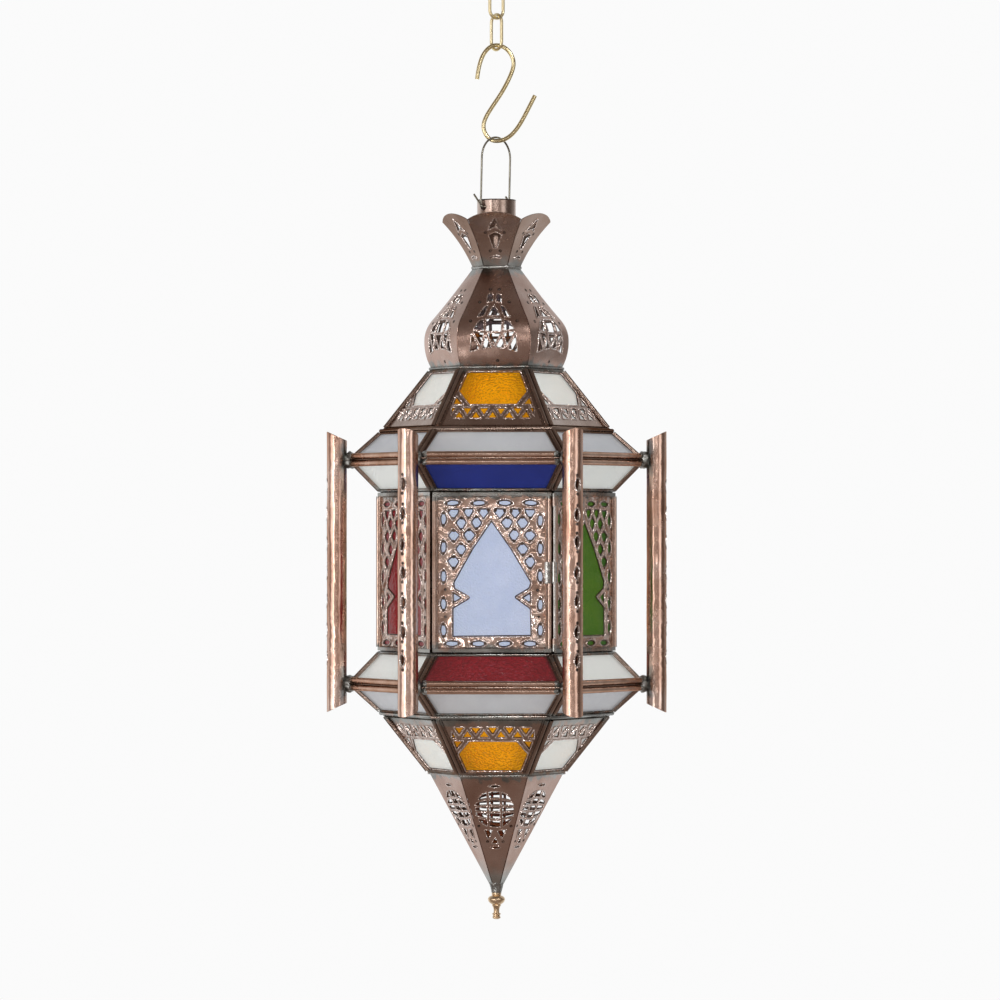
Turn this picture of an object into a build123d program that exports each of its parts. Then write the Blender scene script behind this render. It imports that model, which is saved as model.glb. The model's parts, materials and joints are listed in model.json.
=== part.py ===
from build123d import *
import os
from math import asin, atan2, cos, hypot, radians, sin, sqrt, tan

# A six-sided hanging lantern of pierced copper sheet and coloured glass.
# Millimetres. The origin is the inside top of the upper chain link, where the lantern hangs.
# +Z is up, the door faces -Y, and each tier is named by its corner radius and height.

# Sheet, panes and fits
sheet = 0.6  # copper sheet of frames and screens
pane = 2.0  # glass
pane_play = 0.15  # room round a pane or screen in its frame
web = 0.6  # folded edge of a frame, outside the pane
lip = 3.0  # front and back lips of a frame, at the sides
lip_end = 2.6  # the same lips at top and bottom
frame_gap = 0.5  # each frame stops this short of a corner
bead_height = 0.9  # raised bead along the side edges of a frame
bead_width = 2.0
bead_chamfer = 0.45
hang_gap = 0.3  # room between two hung wires
hook_gap = 0.5  # the same where the hook crosses the link aslant

# Chain links, hook and bail
link_wire = 2.1
link_length = 25.0  # over the wire
link_width = 13.0  # over the wire
link_turn = 40.0  # the upper link's plane, degrees from the front
link_cross = 90.0  # the lower link stands crosswise to it
hook_wire = 2.8
hook_height = 62.3  # between wire centres at the two bends
hook_top_bend = 10.9
hook_bottom_bend = 10.5
hook_top_lead = 13.6  # straight ends beyond the bends
hook_top_flare = 13.5  # degrees from upright
hook_bottom_lead = 29.5
hook_bottom_flare = 33.0
bail_wire = 1.3
bail_height = 46.0  # wire centre at the top, above the collar's holes
bail_turn = 50.0  # the bail's plane, degrees from the front
bail_bend = 1.3
bail_inset = 3.0  # how far the wire reaches inside the collar
bail_tail = 11.0  # free end, bent up outside
bail_tail_lean = 40.0  # degrees from upright
bail_room = 0.35  # between the wire and the collar

# Collar and crown
collar_radius = 12.6
collar_wall = 0.7
collar_rim = 4.9  # rim above the bail's holes
collar_drop = 39.3  # from the bail's holes down to the neck
collar_grip = 3.0  # how far the collar reaches below the neck
collar_play = 0.1
crown_corner_r = 35.4
crown_height = 30.0  # to the petals' corners
crown_arch = 7.6  # rise of each petal's top edge
crown_margin = 3.2  # sheet left round the petal's piercings
crown_bar = 2.4

# Dome
dome_height = 65.3
dome_r = 48.4  # widest, at the corners
dome_widest = 46.2  # below the neck
dome_shoulder = 23.0  # bend radius above the widest part
dome_ledge = 0.5  # step between the dome and the roof's top edge
dome_medal_r = 12.0
dome_medal_rise = 5.9  # medallion centre above the widest part
dome_margin = 3.4

# Roof, eave and soffit
roof_height = 40.3
roof_top_r = 43.0
eave_height = 19.0
soffit_height = 21.3
corner_cut = 2.0  # frames are cut back at each ring corner for solder

# Drum and door
drum_height = 102.4
drum_r = 78.0  # at the corners; the wide tiers follow it
ring_reach = 18.5  # the two rings stand out this far from the drum's corners
belt_inset = 3.0  # the roof's foot and the skirt's foot stand in this far
seat_inset = 2.4  # soffit and sill end this far inside the drum's corners
drum_gap = 1.3  # each side stops this short of a corner, leaving a groove
drum_lip = 3.2
post_leg = 9.0
door_gap = 0.2  # the door stands this far out from the posts
door_clear = 0.4  # above and below the door
rod_radius = 0.8
rod_stand = 1.8  # hinge rod's centre outside the drum's corner
rod_end = 1.0  # rod stops this short of the drum's ends
knuckle_radius = 1.55
knuckle_length = 13.0
knuckle_play = 0.05
strap_width = 4.0  # of the knuckle's leaf, on the door's bead
bracket_length = 8.0
bracket_play = 0.02
bracket_web = 1.0

# Drum screen pattern
border = 8.3  # strip beside the window, with its row of eyes
window_sill = 8.7  # solid foot below the window
window_head = 19.9  # sheet above the window's point
arch_share = 0.49  # the pointed arch begins at this share of the window's height
knee_in = 0.62  # the arch's bend, as shares of its half width and rise
knee_up = 0.45
spur_share = 0.34  # height of the side spurs, as a share of the window's
spur_root = 7.0  # half height of each spur at the jamb
spur_reach = 11.0
spur_hole = 3.2  # half height of the hole in each spur
spur_hole_reach = 4.6
spur_hole_out = 0.5  # the hole's base inside the jamb line
eye_length = 8.0
eye_width = 3.2
eye_side = 2.9  # eye centres from the screen's visible edge, at the sides
eye_foot = 2.7  # the same at the foot
eye_head = 3.5  # and at the top
eye_end_length = 9.4  # eyes of the top and bottom rows
side_eyes = 5
end_eyes = 4
lattice_width = 5.4
lattice_height = 6.8
lattice_pitch = 8.2
lattice_row = 5.6
lattice_bar = 1.8

# Lower tiers
sill_height = 21.6
skirt_height = 19.3
base_height = 39.0
base_foot_r = 44.2
cone_ledge = 0.6
cone_height = 73.0
cone_tip_r = 4.2
cone_medal_r = 11.4
cone_medal_drop = 22.5  # medallion centre below the cone's top edge, along the sheet
cone_margin = 2.6

# Roof and base screen pattern
band = 7.0  # solid band along the wide edge
tracery = 10.0  # height of the zigzag row
tracery_count = 5
screen_bar = 1.8
arm_run = 9.0  # slanting arms beside the window
screen_head = 3.0  # solid strip along the narrow edge

# Ring rails, columns and solder
rail_radius = 1.9
rail_split = 1.0  # dark slit between the two beads
rail_stop = 6.8  # each bead stops this short of a ring corner
rail_play = 0.02
column_radius = 6.5
column_wall = 0.7
column_gap = 1.0  # from the ring's corner to the tube
column_reach = 18.5  # beyond each ring
column_slant = 24.0  # cut of the ends, degrees
column_seam = 1.6  # open seam, facing inward
column_eyes = 7
column_eye_pitch = 18.6
column_eye_length = 7.6
column_eye_width = 3.2
solder_radius = 4.6
solder_play = 0.05  # between the solder and the tube

# Tip, finial, tray and cup
tip_height = 4.6
tip_radius = 2.9
finial_ball = 5.8
finial_neck = 2.9
finial_stem = 2.0
finial_foot = 2.5
finial_height = 17.0
spigot_radius = 1.5
spigot_length = 7.0
tray_thick = 0.8
tray_play = 0.35
cup_bore = 20.0
cup_wall = 0.8
cup_height = 12.0

# Corner radii that follow the drum
ring_r = drum_r + ring_reach
belt_r = drum_r - belt_inset
drum_seat_r = drum_r - seat_inset

COS30 = cos(radians(30))
TAN30 = tan(radians(30))
FACES = ["front", "front_right", "back_right", "back", "back_left", "front_left"]

# Heights, worked down from the hanging point
upper_link_z = link_wire / 2 - (link_length - link_wire) / 2
link_half = (link_length - link_wire) / 2
lower_link_z = upper_link_z - link_half + (link_wire + hang_gap) - link_half
hook_top_z = lower_link_z - link_half + (link_wire + hook_wire) / 2 + hook_gap
hook_foot_z = hook_top_z - hook_height
bail_top_z = hook_foot_z + (hook_wire + bail_wire) / 2 + hang_gap
pivot_z = bail_top_z - bail_height
neck_z = pivot_z - collar_drop
roof_z = neck_z - dome_height
eave_z = roof_z - roof_height
upper_ring_z = eave_z - eave_height
drum_top_z = upper_ring_z - soffit_height
drum_foot_z = drum_top_z - drum_height
lower_ring_z = drum_foot_z - sill_height
skirt_foot_z = lower_ring_z - skirt_height
cone_z = skirt_foot_z - base_height
tip_z = cone_z - cone_height
finial_z = tip_z - tip_height


class Tier:
    """One side of a six-sided tier, facing -Y, measured across (u), up (v) and into the sheet (depth)."""

    def __init__(self, top_r, top_z, foot_r, foot_z):
        self.top_a = top_r * COS30
        self.foot_a = foot_r * COS30
        self.foot_z = foot_z
        self.rise = top_z - foot_z
        self.slope = hypot(self.rise, self.top_a - self.foot_a)
        self.lean = (self.foot_a - self.top_a) / self.rise
        self.up_y = (self.foot_a - self.top_a) / self.slope
        self.up_z = self.rise / self.slope
        self.stretch = hypot(1, self.up_y * TAN30)

    def point(self, u, v, depth):
        y = -self.foot_a + v * self.up_y + depth * self.up_z
        z = self.foot_z + v * self.up_z - depth * self.up_y
        return (u, y, z)

    def plane(self, depth):
        return Plane(origin=self.point(0, 0, depth), x_dir=(1, 0, 0), z_dir=(0, -self.up_z, self.up_y))

    def half(self, v, depth, inset=0):
        return (self.foot_a - v * self.up_y - depth * self.up_z) * TAN30 - inset * self.stretch

    def block(self, near, far, side_in, side_out, foot=0, head=0, far_inset=0):
        """Solid between two depths, mitred at the corners, from side_in to side_out of each edge."""
        rings = []
        for depth, more in ((near, far_inset), (far, 0)):
            low = depth * self.lean + foot + more
            high = self.slope + depth * self.lean - head - more
            left_low, left_high = side_in(low, depth, more), side_in(high, depth, more)
            right_low, right_high = side_out(low, depth, more), side_out(high, depth, more)
            corners = [(left_low, low), (right_low, low), (right_high, high), (left_high, high)]
            rings.append([self.point(u, v, depth) for u, v in corners])
        return hexahedron(*rings)

    def body(self, near, far, gap):
        """Whole panel, mitred."""
        return self.block(
            near, far, lambda v, d, m: -self.half(v, d, gap), lambda v, d, m: self.half(v, d, gap)
        )

    def bead(self, gap, side):
        """Raised bead along one side edge of the outer face."""

        def inner(v, d, m):
            return self.half(v, 0, gap + bead_width - m)

        def outer(v, d, m):
            return self.half(v, 0, gap + m)

        bead = self.block(-bead_height, 0, inner, outer, lip_end, lip_end, bead_chamfer)
        return bead if side > 0 else bead.mirror(Plane.YZ)

    def outline(self, near, far, side, foot, head):
        """Corners of a straight plate that stays inside the mitres from near to far."""
        low = max(near * self.lean, far * self.lean) + foot
        high = self.slope + min(near * self.lean, far * self.lean) - head
        wide, narrow = self.half(low, far, side), self.half(high, far, side)
        return [(-wide, low), (wide, low), (narrow, high), (-narrow, high)]

    def plate(self, near, far, outline, holes=(), reach=0):
        face = Face(wire_of(outline), [wire_of(h) for h in holes])
        face = self.plane(near - reach) * face
        return extrude(face, amount=far - near + 2 * reach, dir=(0, self.up_z, -self.up_y))


def hexahedron(near, far):
    sides = [near, far]
    for i in range(4):
        j = (i + 1) % 4
        sides.append([near[i], near[j], far[j], far[i]])
    return Solid(Shell([Face(Wire.make_polygon(side)) for side in sides]))


def wire_of(points):
    return Wire.make_polygon([(u, v, 0) for u, v in points])


def around(piece, turns):
    """Copies of a front piece on the sides given by number."""
    return [piece.rotate(Axis.Z, 60 * k) for k in turns]


def eye(u, v, length, width, upright):
    """Pointed oval punched hole."""
    shape = [(-0.5, 0), (-0.22, -0.5), (0.22, -0.5), (0.5, 0), (0.22, 0.5), (-0.22, 0.5)]
    points = [(length * a, width * b) for a, b in shape]
    if upright:
        points = [(-b, a) for a, b in points]
    return [(u + a, v + b) for a, b in points]


def lozenge(u, v, width, height):
    return [(u - width / 2, v), (u, v - height / 2), (u + width / 2, v), (u, v + height / 2)]


def medallion(u, v, radius, columns, rows, bar):
    """Round grid of openings, four corners each, trimmed to the circle."""
    cells = []
    step, rise = 2 * radius / columns, 2 * radius / rows
    for i in range(columns):
        a0 = -radius + i * step + bar / 2
        a1 = a0 + step - bar
        a0, a1 = max(a0, -radius * 0.93), min(a1, radius * 0.93)
        reach0, reach1 = sqrt(radius**2 - a0**2), sqrt(radius**2 - a1**2)
        for j in range(rows):
            b0 = -radius + j * rise + bar / 2
            b1 = b0 + rise - bar
            low0, low1 = max(b0, -reach0), max(b0, -reach1)
            high0, high1 = min(b1, reach0), min(b1, reach1)
            if high0 - low0 > bar / 2 and high1 - low1 > bar / 2:
                cell = [(a0, low0), (a1, low1), (a1, high1), (a0, high0)]
                cells.append([(u + a, v + b) for a, b in cell])
    return cells


def panel_frame(tier, stack, gap, side_lip):
    """Folded frame with a pocket for what it holds, and a raised bead along each side."""
    depth = stack + 2 * sheet
    frame = Part() + tier.body(0, depth, gap)
    pocket = tier.outline(sheet, sheet + stack, gap + web, web, web)
    front = tier.outline(0, sheet, gap + side_lip, lip_end, lip_end)
    back = tier.outline(sheet + stack, depth, gap + side_lip, lip_end, lip_end)
    frame -= tier.plate(sheet, sheet + stack, pocket)
    frame -= tier.plate(0, sheet, front, reach=0.01)
    frame -= tier.plate(sheet + stack, depth, back, reach=0.01)
    frame += [tier.bead(gap, side) for side in (-1, 1)]
    return frame


def panel_insert(tier, start, thick, stack, gap, holes=()):
    """Pane or screen that fills the frame's pocket, less its play."""
    edge = web + pane_play
    outline = tier.outline(sheet, sheet + stack, gap + edge, edge, edge)
    return tier.plate(start, start + thick, outline, holes)


def glazed_tier(tier):
    """Frame and pane of a plain glazed side."""
    frame = panel_frame(tier, pane, frame_gap, lip)
    glass = panel_insert(tier, sheet, pane, pane, frame_gap)
    return frame, glass


def screened_tier(tier, holes, gap, side_lip):
    """Frame, pierced screen and the pane behind it."""
    stack = sheet + pane
    frame = panel_frame(tier, stack, gap, side_lip)
    screen = panel_insert(tier, sheet, sheet, stack, gap, holes)
    glass = panel_insert(tier, 2 * sheet, pane, stack, gap)
    return frame, screen, glass


def slope_holes(tier, wide_at_foot):
    """Window, zigzag tracery and slanting arms of a roof or base screen."""

    def at(v):
        return v if wide_at_foot else tier.slope - v

    def edge(v):
        return tier.half(at(v), 2 * sheet, frame_gap + lip + screen_bar * 0.6)

    holes = []
    foot = lip_end + band
    head = foot + tracery
    pitch = 2 * edge(head) / tracery_count
    for i in range(2 * tracery_count + 1):
        u = -edge(head) + i * pitch / 2
        half = pitch / 2 - screen_bar * 0.75
        low, high = (foot, head - screen_bar) if i % 2 else (head, foot + screen_bar)
        left = u - half if i > 0 else u
        right = u + half if i < 2 * tracery_count else u
        holes.append([(left, at(low)), (right, at(low)), (u, at(high))])
    sill = head + screen_bar
    inner = edge(sill) - arm_run
    arm_top = sill + arm_run
    top = tier.slope - lip_end - screen_head
    window = [(-inner, sill), (inner, sill), (edge(arm_top), arm_top)]
    window += [(edge(top), top), (-edge(top), top), (-edge(arm_top), arm_top)]
    holes.append([(u, at(v)) for u, v in window])
    for side in (-1, 1):
        near = inner + 1.6 * screen_bar
        crest = arm_top - 1.6 * screen_bar
        corner = [(near, sill), (edge(sill), sill), (edge(crest), crest)]
        holes.append([(side * u, at(v)) for u, v in corner])
    return holes


def window_side(tier):
    """Right half of the drum's window, from the sill up: jamb, spur, shoulder, knee and apex."""
    half = tier.half(0, 2 * sheet, drum_gap + drum_lip + border)
    apex = tier.slope - window_head
    tall = apex - window_sill
    spur = window_sill + spur_share * tall
    shoulder = window_sill + arch_share * tall
    return [
        (half, window_sill),
        (half, spur - spur_root),
        (half - spur_reach, spur),
        (half, spur + spur_root),
        (half, shoulder),
        (knee_in * half, shoulder + knee_up * (apex - shoulder)),
        (0, apex),
    ]


def drum_holes(tier):
    """Pointed window with side spurs, a border of eyes and a lattice in the spandrels."""
    side = window_side(tier)
    holes = [side + [(-u, v) for u, v in reversed(side[:-1])]]
    root = side[0][0] - spur_hole_out
    spur = side[2][1]
    for s in (-1, 1):
        tip = (s * (root - spur_hole_reach), spur)
        holes.append([(s * root, spur - spur_hole), (s * root, spur + spur_hole), tip])
    edge = tier.half(0, 2 * sheet, drum_gap + drum_lip)
    column = edge - eye_side
    low, high = lip_end + eye_foot, tier.slope - lip_end - eye_head
    for i in range(side_eyes):
        v = low + (high - low) * (i + 0.75) / (side_eyes + 0.5)
        holes += [eye(s * column, v, eye_length, eye_width, True) for s in (-1, 1)]
    for i in range(end_eyes):
        u = 2 * column * ((i + 0.5) / end_eyes - 0.5)
        holes += [eye(u, v, eye_end_length, eye_width, False) for v in (low, high)]
    v = high - eye_width / 2 - lattice_bar - lattice_height / 2
    outer = column - eye_width / 2 - lattice_bar - lattice_width / 2
    shift = 0
    while v - lattice_height / 2 > side[4][1]:
        u = outer - shift
        while u - lattice_width / 2 > lattice_bar / 2:
            if clears((u - lattice_width / 2, v), side[4:]) and clears((u, v - lattice_height / 2), side[4:]):
                holes += [lozenge(s * u, v, lattice_width, lattice_height) for s in (-1, 1)]
            u -= lattice_pitch
        v -= lattice_row
        shift = lattice_pitch / 2 - shift
    return holes


def clears(point, arch):
    """True where a point of the lattice leaves a full bar of sheet beside the window's arch."""
    u, v = point
    for (u1, v1), (u0, v0) in zip(arch, arch[1:]):
        run, rise = u1 - u0, v1 - v0
        away = ((v - v0) * run - (u - u0) * rise) / hypot(run, rise)
        if away < lattice_bar:
            return False
    return True


def chain_link(z, turn):
    """Oval link, turned about the upright line through its middle."""
    half = (link_width - link_wire) / 2
    run = (link_length - link_width) / 2
    wire = Circle(link_wire / 2)
    link = Part()
    for side in (1, -1):
        start = Plane((half, 0, side * run)) * wire
        link += revolve(start, Axis((0, 0, side * run), (0, -side, 0)), 180)
        link += extrude(Plane((side * half, 0, -run)) * wire, amount=2 * run)
    return link.rotate(Axis.Z, turn).moved(Location((0, 0, z)))


def s_hook():
    """Two bends on one upright line, joined by a straight shaft, with straight flared ends."""
    top = Vector(0, 0, hook_top_z - hook_top_bend)
    foot = Vector(0, 0, hook_foot_z + hook_bottom_bend)
    lean = asin((hook_top_bend + hook_bottom_bend) / (top - foot).length)
    side = Vector(cos(lean), 0, -sin(lean))
    enter, leave = top + side * hook_top_bend, foot - side * hook_bottom_bend
    flare = radians(hook_top_flare)
    start = top + Vector(-cos(flare), 0, sin(flare)) * hook_top_bend
    tip = start - Vector(sin(flare), 0, cos(flare)) * hook_top_lead
    out = radians(hook_bottom_flare)
    end = foot + Vector(cos(out), 0, -sin(out)) * hook_bottom_bend
    last = end + Vector(sin(out), 0, cos(out)) * hook_bottom_lead
    path = Wire(
        [
            Edge.make_line(tip, start),
            Edge.make_three_point_arc(start, top + Vector(0, 0, hook_top_bend), enter),
            Edge.make_line(enter, leave),
            Edge.make_three_point_arc(leave, foot - Vector(0, 0, hook_bottom_bend), end),
            Edge.make_line(end, last),
        ]
    )
    return sweep(Plane(origin=tip, z_dir=start - tip) * Circle(hook_wire / 2), path=path)


def bail():
    """One wire: a round-topped loop whose ends pass into the collar and turn back out of the same holes."""
    along = Vector(cos(radians(bail_turn)), sin(radians(bail_turn)), 0)
    across = Vector(-along.Y, along.X, 0)
    leg = collar_radius + bail_room + bail_wire / 2
    strand = bail_bend
    lean = radians(bail_tail_lean)

    def spot(side, e, f, z):
        return along * (side * e) + across * f + Vector(0, 0, pivot_z + z)

    def f_at(z):
        return strand * (1 - z / bail_height)

    def end(side):
        """From the free tail, through the hole and back, and up to where the loop begins."""
        outside = leg + bail_wire + bail_room
        inside = collar_radius - collar_wall - bail_inset
        tail = spot(side, outside, -strand + bail_tail * sin(lean), bail_tail * cos(lean))
        rise = bail_height - leg
        corners = [
            tail,
            spot(side, outside, -strand, 0),
            spot(side, inside, -strand, 0),
            spot(side, inside, strand, 0),
            spot(side, leg, strand, 0),
            spot(side, leg, f_at(rise), rise),
        ]
        fold = bail_bend * 0.98
        return FilletPolyline(*corners, radius=[fold, fold, fold, fold])

    left, right = end(-1), end(1)
    loop = Edge.make_three_point_arc(left @ 1, Vector(0, 0, bail_top_z), right @ 1)
    path = Wire(left.edges() + [loop] + right.edges())
    start = left @ 0
    return sweep(Plane(origin=start, z_dir=left % 0) * Circle(bail_wire / 2), path=path)


def collar():
    low = neck_z - collar_grip
    length = pivot_z + collar_rim - low
    tube = Solid.make_cylinder(collar_radius, length, Plane((0, 0, low)))
    tube -= Solid.make_cylinder(collar_radius - collar_wall, length, Plane((0, 0, low)))
    hole = bail_bend + bail_wire / 2 + bail_room
    along = (cos(radians(bail_turn)), sin(radians(bail_turn)), 0)
    reach = 2 * collar_radius
    start = Vector(*along) * -reach + Vector(0, 0, pivot_z)
    return tube - Solid.make_cylinder(hole, 2 * reach, Plane(start, z_dir=along))


def neck_radius(lean):
    """Corner radius at the neck of a sheet that clears the collar and leans this far from upright."""
    return (collar_radius + collar_play + sheet * hypot(1, lean)) / COS30


def crown_tier():
    rough = (crown_corner_r * COS30 - collar_radius) / crown_height
    return Tier(crown_corner_r, neck_z + crown_height, neck_radius(rough), neck_z)


def crown_petal():
    """Flared petal with an arched top edge, a pointed opening, a vase and a slot."""
    tier = crown_tier()
    low, high = sheet * max(tier.lean, 0), tier.slope + sheet * min(tier.lean, 0)
    wide, narrow = tier.half(high, sheet), tier.half(low, sheet)
    corners = [(-wide, high), (-narrow, low), (narrow, low), (wide, high)]
    edges = [Edge.make_line((*a, 0), (*b, 0)) for a, b in zip(corners, corners[1:])]
    arch = Edge.make_three_point_arc((wide, high, 0), (0, high + crown_arch, 0), (-wide, high, 0))
    top = high + crown_arch - crown_margin
    vase = low + 0.52 * (top - low)
    neck = low + 0.3 * (top - low)
    shoulder = tier.half(vase, sheet, crown_margin)
    spread = 0.85 * shoulder
    slot = [low + crown_margin, neck - crown_bar]
    thin = crown_bar / 2
    holes = [
        [(0, top), (-shoulder, vase + crown_bar), (0, vase + 2.6 * crown_bar), (shoulder, vase + crown_bar)],
        [(-spread, vase), (-crown_bar, neck), (crown_bar, neck), (spread, vase), (0, vase + crown_bar)],
        [(-thin, slot[0]), (thin, slot[0]), (thin, slot[1]), (-thin, slot[1])],
    ]
    face = Face(Wire(edges + [arch]), [wire_of(h) for h in holes])
    return extrude(tier.plane(sheet) * face, amount=sheet, dir=(0, -tier.up_z, tier.up_y))


def dome_profile():
    """Key points of the gore's section: straight from the neck, then two bends, outside and inside."""
    widest = dome_r * COS30
    foot = (roof_top_r - dome_ledge) * COS30
    level = neck_z - dome_widest
    drop = level - roof_z
    lower = ((widest - foot) ** 2 + drop**2) / (2 * (widest - foot))
    bend = (widest - dome_shoulder, level)
    neck = neck_radius((widest - collar_radius) / dome_widest) * COS30
    run, rise = bend[0] - neck, neck_z - level
    reach = hypot(run, rise)
    lean = atan2(run, rise) + asin(dome_shoulder / reach)
    rings = []
    for inset in (0, sheet):
        shoulder = dome_shoulder - inset
        rings.append(
            {
                "neck": (neck - inset / cos(lean), neck_z),
                "bend": (bend[0] + shoulder * cos(lean), level + shoulder * sin(lean)),
                "bend_mid": (bend[0] + shoulder * cos(lean / 2), level + shoulder * sin(lean / 2)),
                "widest": (widest - inset, level),
                "foot": (widest - lower + sqrt((lower - inset) ** 2 - drop**2), roof_z),
                "foot_mid": (
                    widest - lower + (lower - inset) * cos(asin(drop / lower) / 2),
                    level - (lower - inset) * sin(asin(drop / lower) / 2),
                ),
            }
        )
    return rings


def dome_gore():
    """Sheet bent along one profile, mitred at both corners and pierced from the front."""
    outer, inner = [{k: (0, -a, z) for k, (a, z) in ring.items()} for ring in dome_profile()]
    edges = [
        Edge.make_line(outer["neck"], outer["bend"]),
        Edge.make_three_point_arc(outer["bend"], outer["bend_mid"], outer["widest"]),
        Edge.make_three_point_arc(outer["widest"], outer["foot_mid"], outer["foot"]),
        Edge.make_line(outer["foot"], inner["foot"]),
        Edge.make_three_point_arc(inner["foot"], inner["foot_mid"], inner["widest"]),
        Edge.make_three_point_arc(inner["widest"], inner["bend_mid"], inner["bend"]),
        Edge.make_line(inner["bend"], inner["neck"]),
        Edge.make_line(inner["neck"], outer["neck"]),
    ]
    reach = dome_r
    gore = extrude(Face(Wire(edges)), amount=reach, dir=(1, 0, 0), both=True)
    far = reach / TAN30
    wedge = Wire.make_polygon([(0, 0, roof_z), (-reach, -far, roof_z), (reach, -far, roof_z)])
    gore &= extrude(Face(wedge), amount=dome_height, dir=(0, 0, 1))
    for points in dome_holes():
        hole = Face(Wire.make_polygon([(u, 0, z) for u, z in points]))
        gore -= extrude(hole, amount=2 * reach, dir=(0, -1, 0))
    return gore


def dome_holes():
    """Round grid with a bud above it and a row of points below, across (u) and at height z."""
    level = neck_z - dome_widest
    centre = level + dome_medal_rise
    bar = screen_bar
    holes = medallion(0, centre, dome_medal_r, 3, 3, bar)
    crest = centre + dome_medal_r + bar
    bud = dome_medal_r * 0.24
    holes.append([(-bud, crest), (bud, crest), (0, crest + 2 * bud)])
    leaf = crest + 2.2 * bud
    flank = dome_medal_r + bar
    for s in (-1, 1):
        tip = (s * (bud + 0.4 * bar), leaf + 3 * bud)
        holes.append([(s * 0.6 * bar, leaf + bar), (s * (bud + bar), leaf), tip])
        for up in (-1, 1):
            near = (s * 0.86 * flank, centre + up * 0.62 * flank)
            root = (s * 1.12 * flank, centre + up * bar)
            holes.append([near, root, (s * 1.2 * flank, centre + up * 0.35 * flank)])
    foot = roof_z + dome_margin
    top = centre - dome_medal_r - bar
    half = (roof_top_r - dome_ledge) / 2 - dome_margin
    for i in range(4):
        u = half * (i - 1.5) / 2
        crest = top if i in (1, 2) else top + bar
        holes.append([(u - half / 4 + bar / 2, foot), (u + half / 4 - bar / 2, foot), (u, crest)])
    return holes


def cone_gore():
    """Flat pointed panel with a round grid, and points below it."""
    tier = Tier(base_foot_r - cone_ledge, cone_z, cone_tip_r, tip_z)
    outline = tier.outline(0, sheet, 0, 0, 0)
    bar = screen_bar
    centre = tier.slope - cone_medal_drop
    holes = medallion(0, centre, cone_medal_r, 3, 4, bar)
    head = tier.slope - cone_margin
    holes.append([(-2 * bar, head - bar), (2 * bar, head - bar), (2 * bar, head), (-2 * bar, head)])
    v = centre - cone_medal_r - bar
    wide = tier.half(v, sheet, cone_margin)
    for s in (-1, 1):
        holes.append([(s * bar * 0.6, v), (s * wide, v), (s * (bar * 0.6 + 0.3 * wide), v - 0.9 * wide)])
    v -= 1.15 * wide + bar
    small = tier.half(v, sheet, cone_margin)
    holes.append([(-small, v), (small, v), (0, v - 1.4 * small)])
    return tier.plate(0, sheet, outline, holes)


def ring_rails(ring_z, above, below):
    """Two round beads along one ring edge, each lying on the face above or below the ring."""
    rails = []
    offset = rail_radius + rail_split / 2
    for tier, side in ((above, 1), (below, -1)):
        face = ring_r * COS30 - offset * abs(tier.lean)
        out = face + (rail_radius + rail_play) / tier.up_z
        length = ring_r - 2 * rail_stop
        plane = Plane((-length / 2, -out, ring_z + side * offset), z_dir=(1, 0, 0))
        rails.append(Solid.make_cylinder(rail_radius, length, plane))
    return rails


def column_place():
    """Distance of a column's centre line from the lantern's axis."""
    return ring_r + column_gap + column_radius


def column():
    """Rolled tube with an open seam, slanting ends and a row of punched eyes facing outward."""
    middle = (upper_ring_z + lower_ring_z) / 2
    half = (upper_ring_z - lower_ring_z) / 2 + column_reach
    place = column_place()
    section = Circle(column_radius) - Circle(column_radius - column_wall)
    section -= Pos(-column_radius, 0) * Rectangle(2 * column_radius, column_seam)
    tube = Pos(place, 0, middle - half) * extrude(section, amount=2 * half)
    fall = 2 * column_radius * tan(radians(column_slant))
    for s in (-1, 1):
        low, high = place - 2 * column_radius, place + column_radius
        end = middle + s * half
        wedge = Face(Wire.make_polygon([(low, 0, end - s * 1.5 * fall), (high, 0, end), (low, 0, end)]))
        tube -= extrude(wedge, amount=2 * column_radius, dir=(0, 1, 0), both=True)
    for i in range(column_eyes):
        z = middle + (i - (column_eyes - 1) / 2) * column_eye_pitch
        points = eye(0, z, column_eye_length, column_eye_width, True)
        hole = Face(Wire.make_polygon([(place, u, v) for u, v in points]))
        tube -= extrude(hole, amount=2 * column_radius, dir=(1, 0, 0))
    return tube.rotate(Axis.Z, -60)


def ring_solder(ring_z):
    """Lump between the ring's cut corner and a column."""
    lump = Solid.make_sphere(solder_radius, Plane((ring_r, 0, ring_z), z_dir=(1, 0, 0)))
    back = ring_r - corner_cut
    keep = Box(4 * solder_radius, 4 * solder_radius, 4 * solder_radius)
    lump = lump & (Pos(back + 2 * solder_radius, 0, ring_z) * keep)
    post = Plane((column_place(), 0, ring_z - 2 * solder_radius))
    lump = lump - Solid.make_cylinder(column_radius + solder_play, 4 * solder_radius, post)
    return lump.rotate(Axis.Z, -60)


def cut_corners(pieces):
    """Takes the ring corners off frames, square to each corner, where the solder sits."""
    radius = (ring_r - corner_cut) / COS30
    bound = extrude(Pos(0, 0, cone_z) * RegularPolygon(radius, 6, rotation=30), amount=neck_z - cone_z)
    return [piece & bound for piece in pieces]


def post(tier, depth):
    """Folded angle behind one corner of the drum."""

    def inner(v, d, m):
        return tier.half(v, d, post_leg)

    def outer(v, d, m):
        return tier.half(v, d)

    leg = tier.block(depth, depth + sheet, inner, outer)
    other = leg.mirror(Plane.YZ).rotate(Axis.Z, 60)
    return Part() + [leg, other]


def hinge_place():
    r = drum_r + rod_stand
    return r / 2, -r * COS30


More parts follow.
